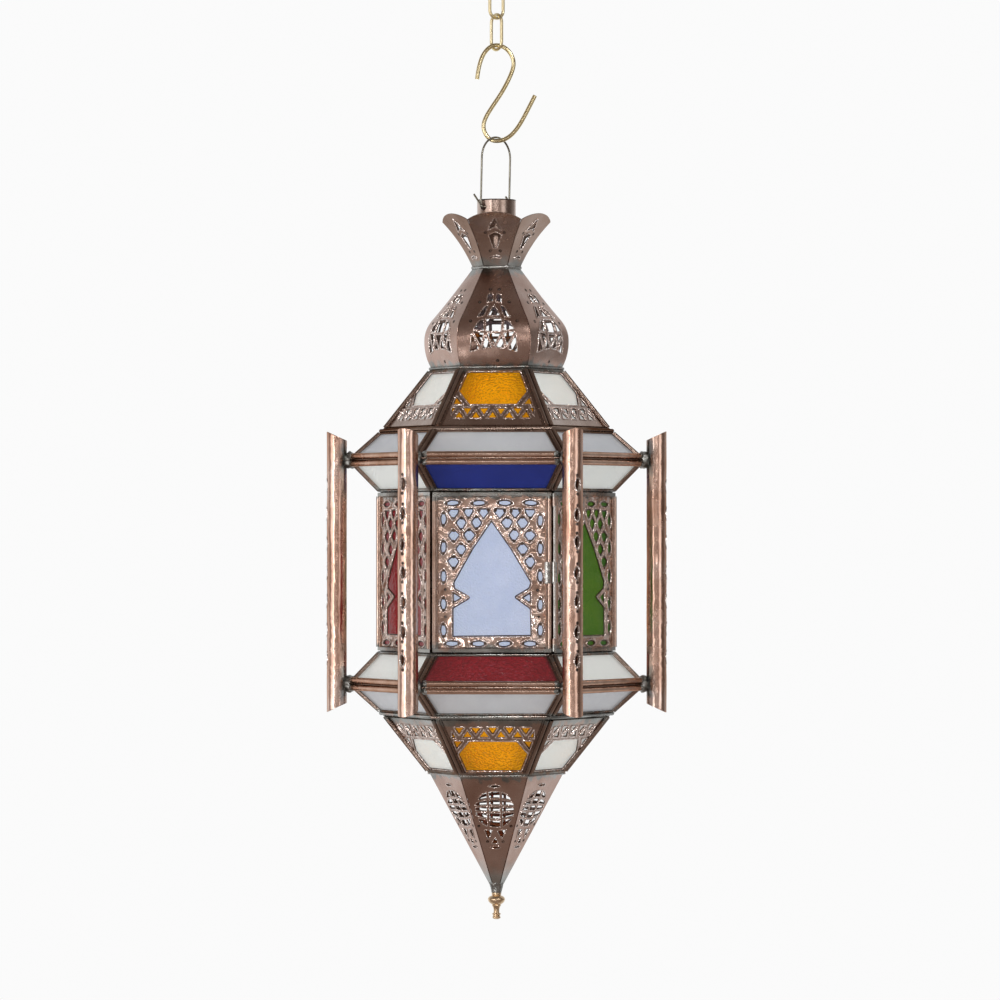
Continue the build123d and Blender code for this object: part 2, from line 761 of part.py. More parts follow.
def door_knuckle(tier):
    """Rolled barrel on the hinge rod with a strap on the door's bead."""
    x, y = hinge_place()
    front = -tier.foot_a - bead_height
    middle = (drum_top_z + drum_foot_z) / 2
    left = tier.half(0, 0, drum_gap + bead_width) - strap_width + bead_width
    low = middle - knuckle_length / 2
    barrel = Solid.make_cylinder(knuckle_radius, knuckle_length, Plane((x, y, low)))
    strap = Pos((left + x) / 2, front - sheet / 2, middle) * Box(x - left, sheet, knuckle_length)
    bore = Solid.make_cylinder(rod_radius + knuckle_play, knuckle_length, Plane((x, y, low)))
    return Part() + [barrel, strap] - bore


def hinge_brackets(depth):
    """Barrels that hold the rod's ends, each on a web set into the corner groove."""
    x, y = hinge_place()
    inner = (drum_r * COS30 - depth) / COS30
    outer = drum_r + rod_stand
    brackets = []
    for low in (drum_foot_z + rod_end, drum_top_z - rod_end - bracket_length):
        ring = Solid.make_cylinder(knuckle_radius, bracket_length, Plane((x, y, low)))
        tab = Box(outer - inner, bracket_web, bracket_length)
        tab = Pos((inner + outer) / 2, 0, low + bracket_length / 2) * tab
        bore = Solid.make_cylinder(rod_radius + bracket_play, bracket_length, Plane((x, y, low)))
        brackets.append(Part() + [ring, tab.rotate(Axis.Z, -60)] - bore)
    return brackets


def hinge_rod():
    x, y = hinge_place()
    length = drum_height - 2 * rod_end
    return Solid.make_cylinder(rod_radius, length, Plane((x, y, drum_foot_z + rod_end)))


def tip_solder():
    top = cone_tip_r * COS30
    tip = Solid.make_cone(tip_radius, top, tip_height, Plane((0, 0, finial_z)))
    return tip - Solid.make_cylinder(spigot_radius, tip_height, Plane((0, 0, finial_z)))


def finial():
    """Turned drop: spigot, ball, stem and a small foot."""
    ball = finial_z - sqrt(finial_ball**2 - finial_neck**2)
    waist = ball - sqrt(finial_ball**2 - finial_stem**2)
    foot = finial_z - finial_height
    rim = finial_foot * 0.7
    top = finial_z + spigot_length
    line = [(0, foot), (finial_stem, foot), (finial_foot, foot + rim / 2), (finial_stem, foot + rim)]
    line.append((finial_stem, waist))
    back = [(finial_neck, finial_z), (spigot_radius, finial_z), (spigot_radius, top), (0, top), (0, foot)]
    edges = [Edge.make_line((a, 0, b), (c, 0, d)) for (a, b), (c, d) in zip(line, line[1:])]
    round_side = [(finial_stem, 0, waist), (finial_ball, 0, ball), (finial_neck, 0, finial_z)]
    edges.append(Edge.make_three_point_arc(*round_side))
    edges += [Edge.make_line((a, 0, b), (c, 0, d)) for (a, b), (c, d) in zip(back, back[1:])]
    return revolve(Face(Wire(edges)), Axis.Z)


def floor_tray(depth):
    corner = drum_r - (depth + sheet + tray_play) / COS30
    return extrude(Pos(0, 0, drum_foot_z) * RegularPolygon(corner, 6), amount=tray_thick)


def candle_cup():
    low = drum_foot_z + tray_thick
    cup = Solid.make_cylinder(cup_bore + cup_wall, cup_height, Plane((0, 0, low)))
    return cup - Solid.make_cylinder(cup_bore, cup_height, Plane((0, 0, low + cup_wall)))


def build():
    nodes = {}
    every, even, odd = range(6), (0, 2, 4), (1, 3, 5)
    nodes["chain_link_upper"] = [chain_link(upper_link_z, link_turn)]
    nodes["chain_link_lower"] = [chain_link(lower_link_z, link_turn - link_cross)]
    nodes["s_hook"] = [s_hook()]
    nodes["bail_wire"] = [bail()]
    nodes["collar_tube"] = [collar()]
    nodes["crown_petals"] = around(crown_petal(), every)
    nodes["dome_gores"] = around(dome_gore(), every)

    roof = Tier(roof_top_r, roof_z, belt_r, eave_z)
    frame, screen, glass = screened_tier(roof, slope_holes(roof, True), frame_gap, lip)
    nodes["roof_frames"] = around(frame, every)
    nodes["roof_screens"] = around(screen, every)
    nodes["roof_glass_amber"] = around(glass, even)
    nodes["roof_glass_white"] = around(glass, odd)

    eave = Tier(belt_r, eave_z, ring_r, upper_ring_z)
    frame, glass = glazed_tier(eave)
    nodes["eave_frames"] = around(cut_corners([frame])[0], every)
    nodes["eave_glass"] = around(glass, every)

    soffit = Tier(ring_r, upper_ring_z, drum_seat_r, drum_top_z)
    frame, glass = glazed_tier(soffit)
    nodes["soffit_frames"] = around(cut_corners([frame])[0], every)
    nodes["soffit_glass_blue"] = around(glass, even)
    nodes["soffit_glass_white"] = around(glass, odd)
    rails = ring_rails(upper_ring_z, eave, soffit)
    nodes["upper_rails"] = [copy for rail in rails for copy in around(rail, every)]

    drum = Tier(drum_r, drum_top_z, drum_r, drum_foot_z)
    frame, screen, glass = screened_tier(drum, drum_holes(drum), drum_gap, drum_lip)
    for k, side in enumerate(FACES):
        if side == "front":
            continue
        nodes["drum_frame_" + side] = around(frame, [k])
        nodes["drum_screen_" + side] = around(screen, [k])
        nodes["drum_glass_" + side] = around(glass, [k])
    depth = 3 * sheet + pane
    nodes["corner_posts"] = around(post(drum, depth), every)

    proud = drum_r + door_gap / COS30
    door = Tier(proud, drum_top_z - door_clear, proud, drum_foot_z + door_clear)
    frame, screen, glass = screened_tier(door, drum_holes(door), drum_gap, drum_lip)
    nodes["door_frame"] = [frame]
    nodes["door_screen"] = [screen]
    nodes["door_glass"] = [glass]
    nodes["door_knuckle"] = [door_knuckle(door)]
    nodes["hinge_rod"] = [hinge_rod()]
    nodes["hinge_brackets"] = hinge_brackets(depth)

    sill = Tier(drum_seat_r, drum_foot_z, ring_r, lower_ring_z)
    frame, glass = glazed_tier(sill)
    nodes["sill_frames"] = around(cut_corners([frame])[0], every)
    nodes["sill_glass_red"] = around(glass, even)
    nodes["sill_glass_white"] = around(glass, odd)

    skirt = Tier(ring_r, lower_ring_z, belt_r, skirt_foot_z)
    frame, glass = glazed_tier(skirt)
    nodes["skirt_frames"] = around(cut_corners([frame])[0], every)
    nodes["skirt_glass"] = around(glass, every)
    rails = ring_rails(lower_ring_z, sill, skirt)
    nodes["lower_rails"] = [copy for rail in rails for copy in around(rail, every)]

    base = Tier(belt_r, skirt_foot_z, base_foot_r, cone_z)
    frame, screen, glass = screened_tier(base, slope_holes(base, False), frame_gap, lip)
    nodes["base_frames"] = around(frame, every)
    nodes["base_screens"] = around(screen, every)
    nodes["base_glass_amber"] = around(glass, even)
    nodes["base_glass_white"] = around(glass, odd)
    nodes["cone_gores"] = around(cone_gore(), every)
    nodes["tip_solder"] = [tip_solder()]
    nodes["finial"] = [finial()]

    nodes["columns"] = around(column(), every)
    nodes["upper_solder"] = around(ring_solder(upper_ring_z), every)
    nodes["lower_solder"] = around(ring_solder(lower_ring_z), every)
    nodes["floor_tray"] = [floor_tray(depth)]
    nodes["candle_cup"] = [candle_cup()]
    return nodes


def main():
    os.makedirs("parts", exist_ok=True)
    for name, pieces in build().items():
        solids = [solid for piece in pieces for solid in piece.solids()]
        shape = solids[0] if len(solids) == 1 else Compound(solids)
        export_step(shape, "parts/" + name + ".step")
        print(name, len(solids), round(sum(solid.volume for solid in solids)))


main()
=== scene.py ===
import json
import math
import random
import bpy
import bmesh
from mathutils import Matrix, Vector, noise


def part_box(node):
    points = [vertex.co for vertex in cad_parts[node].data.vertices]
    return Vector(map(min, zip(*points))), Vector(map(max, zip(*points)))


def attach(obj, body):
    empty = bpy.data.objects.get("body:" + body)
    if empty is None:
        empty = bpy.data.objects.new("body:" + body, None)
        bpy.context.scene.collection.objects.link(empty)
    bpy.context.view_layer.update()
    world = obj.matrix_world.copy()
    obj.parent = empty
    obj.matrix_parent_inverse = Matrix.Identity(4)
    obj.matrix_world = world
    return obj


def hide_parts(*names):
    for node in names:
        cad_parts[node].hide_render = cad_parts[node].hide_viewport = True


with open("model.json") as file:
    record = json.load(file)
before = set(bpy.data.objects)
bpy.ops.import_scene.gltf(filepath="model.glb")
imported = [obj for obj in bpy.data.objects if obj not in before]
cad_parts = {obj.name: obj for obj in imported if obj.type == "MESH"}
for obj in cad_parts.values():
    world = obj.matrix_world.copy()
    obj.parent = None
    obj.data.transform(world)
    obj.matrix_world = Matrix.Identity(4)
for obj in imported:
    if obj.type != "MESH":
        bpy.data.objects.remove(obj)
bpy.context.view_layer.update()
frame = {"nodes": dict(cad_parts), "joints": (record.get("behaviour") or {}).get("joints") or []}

mm = 0.001
cos30, tan30 = math.cos(math.radians(30)), math.tan(math.radians(30))
allSides = range(6)
bothWays = (-1, 1)
sideNames = ["front", "front_right", "back_right", "back", "back_left", "front_left"]
# heights, mm
level = {"neck": -184.65, "roof": -249.95, "eave": -290.25, "upperRing": -309.25, "drumTop": -330.55,
         "drumFoot": -432.95, "lowerRing": -454.55, "skirt": -473.85, "cone": -512.85, "tip": -585.85}
# radii to the corners of the six sides, mm
corner = {"crown": 35.4, "dome": 48.4, "roof": 43.0, "belt": 75.0, "ring": 96.5, "seat": 75.6, "drum": 78.0,
          "door": 78.231, "base": 44.2, "cone": 43.6, "tip": 4.2}


def feedSockets(tree, node, sockets):
    for key, value in sockets.items():
        if isinstance(value, bpy.types.NodeSocket):
            tree.links.new(value, node.inputs[key])
        else:
            node.inputs[key].default_value = value


def addNode(tree, kind, sockets=(), **settings):
    node = tree.nodes.new("ShaderNode" + kind)
    for key, value in settings.items():
        setattr(node, key, value)
    feedSockets(tree, node, dict(sockets))
    return node


def startMaterial(name):
    mat = bpy.data.materials.new(name)
    mat.use_nodes = True
    return mat, mat.node_tree


def noiseNode(tree, coord, scale, detail, rough=0.55):
    sockets = {"Scale": scale, "Detail": detail, "Roughness": rough, "Vector": coord}
    return addNode(tree, "TexNoise", sockets).outputs["Fac"]


def rampNode(tree, fac, stops):
    ramp = addNode(tree, "ValToRGB", {"Fac": fac})
    while len(ramp.color_ramp.elements) < len(stops):
        ramp.color_ramp.elements.new(0.5)
    for element, (place, colour) in zip(ramp.color_ramp.elements, stops):
        element.position = place
        element.color = (*colour, 1.0)
    return ramp.outputs["Color"]


def rangeNode(tree, value, low, high, start=0.3, end=0.7):
    sockets = {"From Min": start, "From Max": end, "To Min": low, "To Max": high, "Value": value}
    return addNode(tree, "MapRange", sockets).outputs["Result"]


def bumpNode(tree, height, distance, before=None):
    sockets = {"Strength": 1.0, "Distance": distance, "Height": height}
    if before:
        sockets["Normal"] = before
    return addNode(tree, "Bump", sockets).outputs["Normal"]


def mixNode(tree, factor, one, two, blend="MIX"):
    sockets = {"Factor": factor, "A": one, "B": two}
    return addNode(tree, "Mix", sockets, data_type="RGBA", blend_type=blend).outputs["Result"]


def mathNode(tree, operation, *values):
    return addNode(tree, "Math", enumerate(values), operation=operation).outputs["Value"]


def axesOf(tree, coord):
    return addNode(tree, "SeparateXYZ", {"Vector": coord}).outputs


# where solder has run on the copper: each run's start, full start, full end and end, metres
sheetSeams = [(-0.178, -0.1815, -0.187, -0.1905), (-0.2465, -0.2485, -0.252, -0.2535),
              (-0.327, -0.3295, -0.3335, -0.3355), (-0.4285, -0.43, -0.435, -0.437),
              (-0.471, -0.4725, -0.478, -0.4805), (-0.5105, -0.512, -0.514, -0.5155), (-0.569, -0.579)]
columnSeams = [(-0.296, -0.301, -0.315, -0.321), (-0.443, -0.449, -0.461, -0.466)]
seamLook = {"ragged": 140.0, "stray": 0.0035, "top": -0.15, "drop": 0.47, "fade": (-0.003, 0.002)}


def seamMask(tree, coord, seams, inside):
    look, top, drop = seamLook, seamLook["top"], seamLook["drop"]
    ragged = noiseNode(tree, coord, look["ragged"], detail=3.0)
    stray = rangeNode(tree, ragged, -look["stray"], look["stray"])
    height = mathNode(tree, "ADD", axesOf(tree, coord)["Z"], stray)
    runs = [((top - z) / drop, (on,) * 3) for run in seams for z, on in zip(run, (0, 1, 1, 0))]
    mask = rampNode(tree, rangeNode(tree, height, 0.0, 1.0, top, top - drop), runs)
    if not inside:
        return mask
    flat = addNode(tree, "VectorMath", {0: coord, 1: (1, 1, 0)}, operation="MULTIPLY")
    reach = addNode(tree, "VectorMath", {0: flat.outputs["Vector"]}, operation="LENGTH")
    near, far = (inside + step for step in look["fade"])
    return mathNode(tree, "MULTIPLY", mask, rangeNode(tree, reach.outputs["Value"], 1.0, 0.0, near, far))


def spreadTones(tones, spread):
    return [(0.5 + way * spread, tone) for way, tone in zip((-1, 0, 1), tones)]


greyTones, greySpread = ((0.16, 0.165, 0.155), (0.31, 0.315, 0.3), (0.46, 0.465, 0.45)), 0.18
smearScale = 3.1


def metalMaterial(name, tones, rough, blotch, dents, grain, spread=0.25, seams=None, inside=0.0,
                  rimTint=(1.0, 1.0, 1.0)):
    mat, tree = startMaterial(name)
    coord = addNode(tree, "TexCoord").outputs["Object"]
    cloud = noiseNode(tree, coord, blotch, detail=5.0, rough=0.6)
    colour = rampNode(tree, cloud, spreadTones(tones, spread))
    if seams:
        grey = rampNode(tree, cloud, spreadTones(greyTones, greySpread))
        colour = mixNode(tree, seamMask(tree, coord, seams, inside), colour, grey)
    smear = noiseNode(tree, coord, blotch * smearScale, detail=4.0)
    wave = bumpNode(tree, noiseNode(tree, coord, dents[0], detail=2.0), dents[1])
    fine = bumpNode(tree, noiseNode(tree, coord, grain[0], detail=3.0), grain[1], wave)
    feedSockets(tree, tree.nodes["Principled BSDF"], {
        "Base Color": colour, "Roughness": rangeNode(tree, smear, *rough), "Metallic": 1.0,
        "Specular Tint": (*rimTint, 1.0), "Normal": fine})
    return mat


# blotch, dents and grain are noise scales, the last two with a height in metres
sheetLook = dict(tones=((0.3, 0.21, 0.17), (0.43, 0.325, 0.275), (0.52, 0.43, 0.385)), rough=(0.2, 0.32),
                 blotch=30.0, dents=(48.0, 0.0005), grain=(900.0, 1.5e-5), seams=sheetSeams)
screenLook = dict(sheetLook, tones=((0.38, 0.23, 0.165), (0.67, 0.495, 0.41), (0.88, 0.765, 0.7)),
                  rough=(0.12, 0.24), blotch=60.0, dents=(74.0, 0.0038))
beadLook = dict(sheetLook, tones=((0.42, 0.29, 0.225), (0.6, 0.45, 0.375), (0.74, 0.6, 0.53)),
                rimTint=(0.4, 0.3, 0.25), rough=(0.12, 0.22), blotch=40.0, dents=(90.0, 0.0006))
brassLook = dict(tones=((0.8, 0.66, 0.36), (0.9, 0.79, 0.5), (0.95, 0.87, 0.63)), rough=(0.26, 0.34),
                 blotch=60.0, dents=(120.0, 4e-5), grain=(700.0, 4e-6))
metalLook = {
    "agedCopper": sheetLook,
    "wornCopper": screenLook,
    "dullCopper": dict(screenLook, tones=((0.36, 0.27, 0.225), (0.58, 0.47, 0.415), (0.74, 0.64, 0.585)),
                       rough=(0.18, 0.32)),
    "burnishedCopper": dict(tones=((0.56, 0.44, 0.39), (0.8, 0.69, 0.64), (0.94, 0.87, 0.84)), spread=0.2,
                            rough=(0.12, 0.24), blotch=120.0, dents=(420.0, 0.0014), grain=(1400.0, 2e-5)),
    "drawnCopper": beadLook,
    "rubbedCopper": dict(beadLook, tones=((0.42, 0.27, 0.2), (0.6, 0.41, 0.32), (0.74, 0.56, 0.47)),
                         rough=(0.16, 0.26)),
    "brownCopper": dict(sheetLook, tones=((0.19, 0.13, 0.105), (0.3, 0.22, 0.18), (0.42, 0.33, 0.28)),
                        rimTint=(0.2, 0.14, 0.11)),
    "redCopper": dict(sheetLook, tones=((0.34, 0.215, 0.17), (0.47, 0.325, 0.27), (0.56, 0.43, 0.38))),
    "crownCopper": dict(sheetLook, rimTint=(0.42, 0.35, 0.31)),
    "rolledCopper": dict(sheetLook, tones=((0.46, 0.255, 0.175), (0.7, 0.48, 0.385), (0.84, 0.7, 0.635)),
                         rimTint=(0.45, 0.36, 0.31), rough=(0.18, 0.32), blotch=26.0, dents=(52.0, 0.0013),
                         seams=columnSeams, inside=0.1025),
    # near-black metal: tarnish, and painted shade where it lines the pierced holes and on the corner posts
    # in the grooves
    "tarnishAndPaintedShade": dict(tones=((0.06, 0.043, 0.036), (0.12, 0.09, 0.075), (0.24, 0.19, 0.165)), spread=0.2,
                        rough=(0.22, 0.42), blotch=160.0, dents=(300.0, 0.0004), grain=(1400.0, 2e-5)),
    "greySolder": dict(tones=greyTones, spread=greySpread, rough=(0.24, 0.44), blotch=150.0,
                       dents=(330.0, 0.0006), grain=(1500.0, 3e-5)),
    "paleBrass": brassLook,
    "drawnBrass": dict(brassLook, tones=((0.64, 0.53, 0.27), (0.79, 0.68, 0.41), (0.88, 0.79, 0.55)),
                       rough=(0.2, 0.28)),
    "turnedBrass": dict(tones=((0.6, 0.42, 0.25), (0.76, 0.58, 0.38), (0.82, 0.66, 0.48)), rough=(0.28, 0.4),
                        blotch=150.0, dents=(200.0, 0.00012), grain=(1100.0, 1e-5)),
    "darkSteelWire": dict(tones=((0.22, 0.21, 0.17), (0.36, 0.345, 0.29), (0.48, 0.46, 0.39)), spread=0.2,
                          rough=(0.28, 0.45), blotch=200.0, dents=(300.0, 0.0001), grain=(1600.0, 2e-5)),
    "rubbedPin": dict(tones=((0.42, 0.42, 0.4), (0.6, 0.6, 0.58), (0.75, 0.75, 0.73)), spread=0.2,
                      rough=(0.14, 0.26), blotch=150.0, dents=(200.0, 0.0002), grain=(1500.0, 2e-5)),
}
metal = {name: metalMaterial(name, **look) for name, look in metalLook.items()}
# the second metal is the burnished rim round each hole; the third is near black, which is painted shade
# under the cut edges
cutEdges = ["burnishedCopper", "tarnishAndPaintedShade"]


def paneMargin(tree, coord):
    axes = axesOf(tree, coord)
    around = mathNode(tree, "ARCTAN2", axes["X"], axes["Y"])
    return mathNode(tree, "PINGPONG", around, math.radians(30))  # 0 in mid-side, 30 degrees at its corners


paneLook = {"cloud": 60.0, "deepAt": 0.35, "paleAt": 0.65, "paintedEdgeShade": (0.2, 0.46), "bend": 1.48}


def glassMaterial(name, deep, pale, rough, clear, gloss, ripple, glow, power, hammered=False, paintedEdgeShade=1.0):
    mat, tree = startMaterial(name)
    coord = addNode(tree, "TexCoord").outputs["Object"]
    cloud = noiseNode(tree, coord, paneLook["cloud"], detail=3.0)
    body = rampNode(tree, cloud, [(paneLook["deepAt"], deep), (paneLook["paleAt"], pale)])
    # the base colour darkens towards the corners of each pane: painted shade
    edge = rangeNode(tree, paneMargin(tree, coord), 1.0, paintedEdgeShade, *paneLook["paintedEdgeShade"])
    if hammered:
        cells = addNode(tree, "TexVoronoi", {"Scale": ripple[0], "Vector": coord}, feature="SMOOTH_F1")
        height = cells.outputs["Distance"]
    else:
        height = noiseNode(tree, coord, ripple[0], detail=2.0)
    # the emission is light scattered inside the lantern
    feedSockets(tree, tree.nodes["Principled BSDF"], {
        "Base Color": mixNode(tree, 1.0, body, edge, "MULTIPLY"), "Roughness": rough,
        "Transmission Weight": clear, "IOR": paneLook["bend"], "Specular IOR Level": gloss,
        "Emission Color": (*glow, 1.0), "Emission Strength": power,
        "Normal": bumpNode(tree, height, ripple[1])})
    return mat


frostLook = dict(deep=(0.75, 0.78, 0.83), pale=(0.82, 0.85, 0.89), rough=0.4, clear=0.5, gloss=0.5,
                 ripple=(500.0, 0.0002), glow=(0.93, 0.98, 1.0), power=0.075)
glassLook = {
    "glass_amber": dict(deep=(0.86, 0.3, 0.001), pale=(0.95, 0.38, 0.002), rough=0.14, clear=0.92,
                        gloss=0.25, ripple=(800.0, 0.0005), hammered=True,
                        glow=(1.0, 0.53, 0.0), power=0.15, paintedEdgeShade=0.45),
    "glass_white": dict(frostLook, deep=(0.8, 0.84, 0.82), pale=(0.88, 0.9, 0.88), clear=0.55,
                        glow=(0.97, 1.0, 0.98), power=0.17),
    "glass_red": dict(deep=(0.3, 0.01, 0.017), pale=(0.38, 0.015, 0.024), rough=0.16, clear=0.85,
                      gloss=0.08, ripple=(520.0, 0.0009), hammered=True,
                      glow=(1.0, 0.26, 0.28), power=0.05, paintedEdgeShade=0.8),
    "glass_blue": dict(deep=(0.014, 0.028, 0.22), pale=(0.022, 0.04, 0.29), rough=0.2, clear=0.6,
                       gloss=0.4, ripple=(400.0, 0.0002),
                       glow=(0.1, 0.2, 1.0), power=0.05),
    "glass_green": dict(deep=(0.05, 0.23, 0.01), pale=(0.08, 0.29, 0.016), rough=0.14, clear=0.8,
                        gloss=0.04, ripple=(500.0, 0.0003),
                        glow=(0.24, 1.0, 0.07), power=0.03, paintedEdgeShade=0.8),
    "drumRed": dict(deep=(0.4, 0.006, 0.014), pale=(0.5, 0.009, 0.02), rough=0.14, clear=0.85,
                    gloss=0.03, ripple=(300.0, 0.0002),
                    glow=(1.0, 0.05, 0.1), power=0.06, paintedEdgeShade=0.8),
    "glass_pale_blue": dict(frostLook, deep=(0.58, 0.66, 0.84), pale=(0.66, 0.73, 0.9), clear=0.55,
                            gloss=0.4, ripple=(900.0, 0.0005), hammered=True,
                            glow=(0.74, 0.84, 1.0), power=0.195),
    "frost": frostLook,
}
glass = {name: glassMaterial(name.replace("glass_", "") + "Glass", **look)
         for name, look in glassLook.items()}
print("materials made")


def softCorners(points, radius, steps, most=0.45):
    soft = []
    for i, spot in enumerate(points):
        here = Vector(spot)
        back, ahead = Vector(points[i - 1]) - here, Vector(points[(i + 1) % len(points)]) - here
        start = here + back.normalized() * min(radius, back.length * most)
        end = here + ahead.normalized() * min(radius, ahead.length * most)
        for s in range(steps + 1):
            t = s / steps
            soft.append(tuple((1 - t) ** 2 * start + 2 * t * (1 - t) * here + t * t * end))
    return soft


def shaken(points, amount, hand):
    return [(u + hand.uniform(-amount, amount), v + hand.uniform(-amount, amount)) for u, v in points]


def turnedBy(points, u, v, degrees=0.0):
    c, s = math.cos(math.radians(degrees)), math.sin(math.radians(degrees))
    return [(u + a * c - b * s, v + a * s + b * c) for a, b in points]


def handCut(shape, hand, shake, soft, spot=(0, 0), steps=2):
    return softCorners(turnedBy(shaken(shape, shake, hand), *spot), soft, steps)


def flipped(points, s):
    return [(s * u, v) for u, v in points]


def mirrored(points):
    return flipped(points[::-1], -1)


eyeLook = {"steps": 14, "point": 0.3, "shake": 0.12, "tilt": 4}
dotSides = 8


def eyeShape(u, v, length, width, degrees, hand):
    look, lens = eyeLook, []
    for i in range(look["steps"]):
        a = math.tau * i / look["steps"]
        narrow = 1 - look["point"] * math.cos(a) ** 2
        lens.append((length / 2 * math.cos(a), width / 2 * math.sin(a) * narrow))
    lens = shaken(lens, look["shake"], hand)
    return turnedBy(lens, u, v, degrees + hand.uniform(-look["tilt"], look["tilt"]))


def dotShape(u, v, radius):
    angles = [math.tau * i / dotSides for i in range(dotSides)]
    return [(u + radius * math.cos(a), v + radius * math.sin(a)) for a in angles]


def pairedDots(look):
    return [dotShape(u, v, look["dot"]) for s in bothWays for u, v in flipped(look["dots"], s)]


def farFrom(holes, u, v, room):
    return all((a - u) ** 2 + (b - v) ** 2 > room ** 2 for hole in holes for a, b in hole)


def linked(name, data):
    thing = bpy.data.objects.new(name, data)
    bpy.context.collection.objects.link(thing)
    return thing


def curveMesh(lines, closed=True, kind="POLY", **settings):
    curve = bpy.data.curves.new("line", "CURVE")
    for key, value in settings.items():
        setattr(curve, key, value)
    for line in lines:
        spline = curve.splines.new(kind)
        spline.points.add(len(line) - 1)
        for point, spot in zip(spline.points, line):
            point.co = (*Vector(spot).to_3d(), 1.0)
        spline.use_cyclic_u = closed
        if kind == "NURBS":
            spline.order_u = 4
            spline.use_endpoint_u = True
    holder = linked("line", curve)
    mesh = bpy.data.meshes.new_from_object(holder)
    bpy.data.objects.remove(holder)
    bpy.data.curves.remove(curve)
    return mesh


def filledMesh(loops, depth, bevel):
    return curveMesh(loops, dimensions="2D", fill_mode="BOTH", bevel_depth=bevel, bevel_resolution=1,
                     offset=-bevel, extrude=depth / 2 - bevel)


def wireMesh(lines, radius, roundness=1, closed=True, kind="POLY"):
    return curveMesh(lines, closed, kind, dimensions="3D", fill_mode="FULL", bevel_depth=radius,
                     bevel_resolution=roundness, use_fill_caps=not closed)


def addMesh(bm, mesh, index=0, shift=0.0, flatten=1.0):
    known = len(bm.faces), len(bm.verts)
    bm.from_mesh(mesh)
    bpy.data.meshes.remove(mesh)
    bm.faces.ensure_lookup_table()
    bm.verts.ensure_lookup_table()
    for face in bm.faces[known[0]:]:
        face.material_index = index
    for vert in bm.verts[known[1]:]:
        vert.co.z = vert.co.z * flatten + shift


def crossSum(loop):
    return sum(a[0] * b[1] - b[0] * a[1] for a, b in zip(loop, loop[1:] + loop[:1]))


def grown(loop, amount):
    turn = math.copysign(amount, crossSum(loop))
    wider = []
    for before, spot, after in zip(loop[-1:] + loop[:-1], loop, loop[1:] + loop[:1]):
        way = Vector((after[0] - before[0], after[1] - before[1])).normalized()
        wider.append((spot[0] + way.y * turn, spot[1] - way.x * turn))
    return wider


# the cut edge, the lip under it, coloured near black as painted shade of the hole's wall, the flaps the
# chisel turned in, also near black as painted shade, and the punched dots, mm
edgeLook = {"sheet": 0.6, "bevel": 0.12, "lipDrop": 0.4, "lipHeight": 0.34, "longestCurl": 16.0,
            "curlIn": 0.3, "flap": (0.3, 0.1), "flapDrop": 0.3, "dotDrop": 0.15, "dotFlat": 0.5,
            "weld": 0.0005}


def curledEnds(holes, size):
    curls = []
    for hole in holes:
        pairs = ((Vector(a), Vector(b)) for i, a in enumerate(hole) for b in hole[:i])
        a, b = max(pairs, key=lambda pair: (pair[0] - pair[1]).length)
        if (a - b).length < edgeLook["longestCurl"]:
            inward = (b - a).normalized() * size * edgeLook["curlIn"]
            ends = (a + inward, b - inward)
            curls += [dotShape(*spot, size) for spot in ends if farFrom(curls, *spot, size)]
    return curls


def piercedSheet(outline, holes, dots, top, look):
    bm, edge = bmesh.new(), edgeLook
    thick, lip = look.get("sheet", edge["sheet"]), look["lip"]
    addMesh(bm, filledMesh([outline] + holes + dots, thick, edge["bevel"]), 0, top - thick / 2)
    addMesh(bm, wireMesh([grown(hole, look.get("ridge", 0.0)) for hole in holes], look["rim"]), 1, top)
    # the lips, the curled flaps and the dot lips take the near-black metal: painted shade of the holes'
    # walls
    addMesh(bm, wireMesh(holes, lip), 2, top - edge["lipDrop"], edge["lipHeight"] / lip)
    if "curl" in look:
        addMesh(bm, filledMesh(curledEnds(holes, look["curl"]), *edge["flap"]), 2, top - edge["flapDrop"])
    if dots:
        addMesh(bm, wireMesh(dots, look["dotLip"]), 2, top - edge["dotDrop"], edge["dotFlat"])
    bmesh.ops.remove_doubles(bm, verts=bm.verts, dist=edge["weld"])
    return bm


def cutAcross(bm, axis, start, end, step):
    place = start + step
    while place < end:
        spot, normal = [0.0, 0.0, 0.0], [0.0, 0.0, 0.0]
        spot[axis], normal[axis] = place, 1.0
        everything = bm.verts[:] + bm.edges[:] + bm.faces[:]
        bmesh.ops.bisect_plane(bm, geom=everything, plane_co=spot, plane_no=normal)
        place += step


def meshFrom(bm, name):
    mesh = bpy.data.meshes.new(name)
    bm.to_mesh(mesh)
    bm.free()
    return mesh


def gathered(parts):
    whole = bmesh.new()
    for part in parts:
        mesh = meshFrom(part, "part")
        whole.from_mesh(mesh)
        bpy.data.meshes.remove(mesh)
    return whole


def sixTimes(maker):
    return gathered([maker(k) for k in allSides])


def turnedSide(bm, k):
    turn = Matrix.Rotation(math.radians(60 * k), 3, "Z")
    bmesh.ops.rotate(bm, verts=bm.verts, cent=(0, 0, 0), matrix=turn)
    return bm


def finishPiece(name, bm, metals, nodes=(), body="lantern", smooth=38.0, weighted=True):
    bmesh.ops.recalc_face_normals(bm, faces=bm.faces)
    bmesh.ops.scale(bm, verts=bm.verts, vec=(mm, mm, mm))
    mesh = meshFrom(bm, name)
    for metalName in metals:
        mesh.materials.append(metal[metalName])
    mesh.shade_smooth()
    mesh.set_sharp_from_angle(angle=math.radians(smooth))
    thing = linked(name, mesh)
    if weighted:
        thing.modifiers.new("evenShade", "WEIGHTED_NORMAL").keep_sharp = True
    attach(thing, body)
    if nodes:
        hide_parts(*nodes)


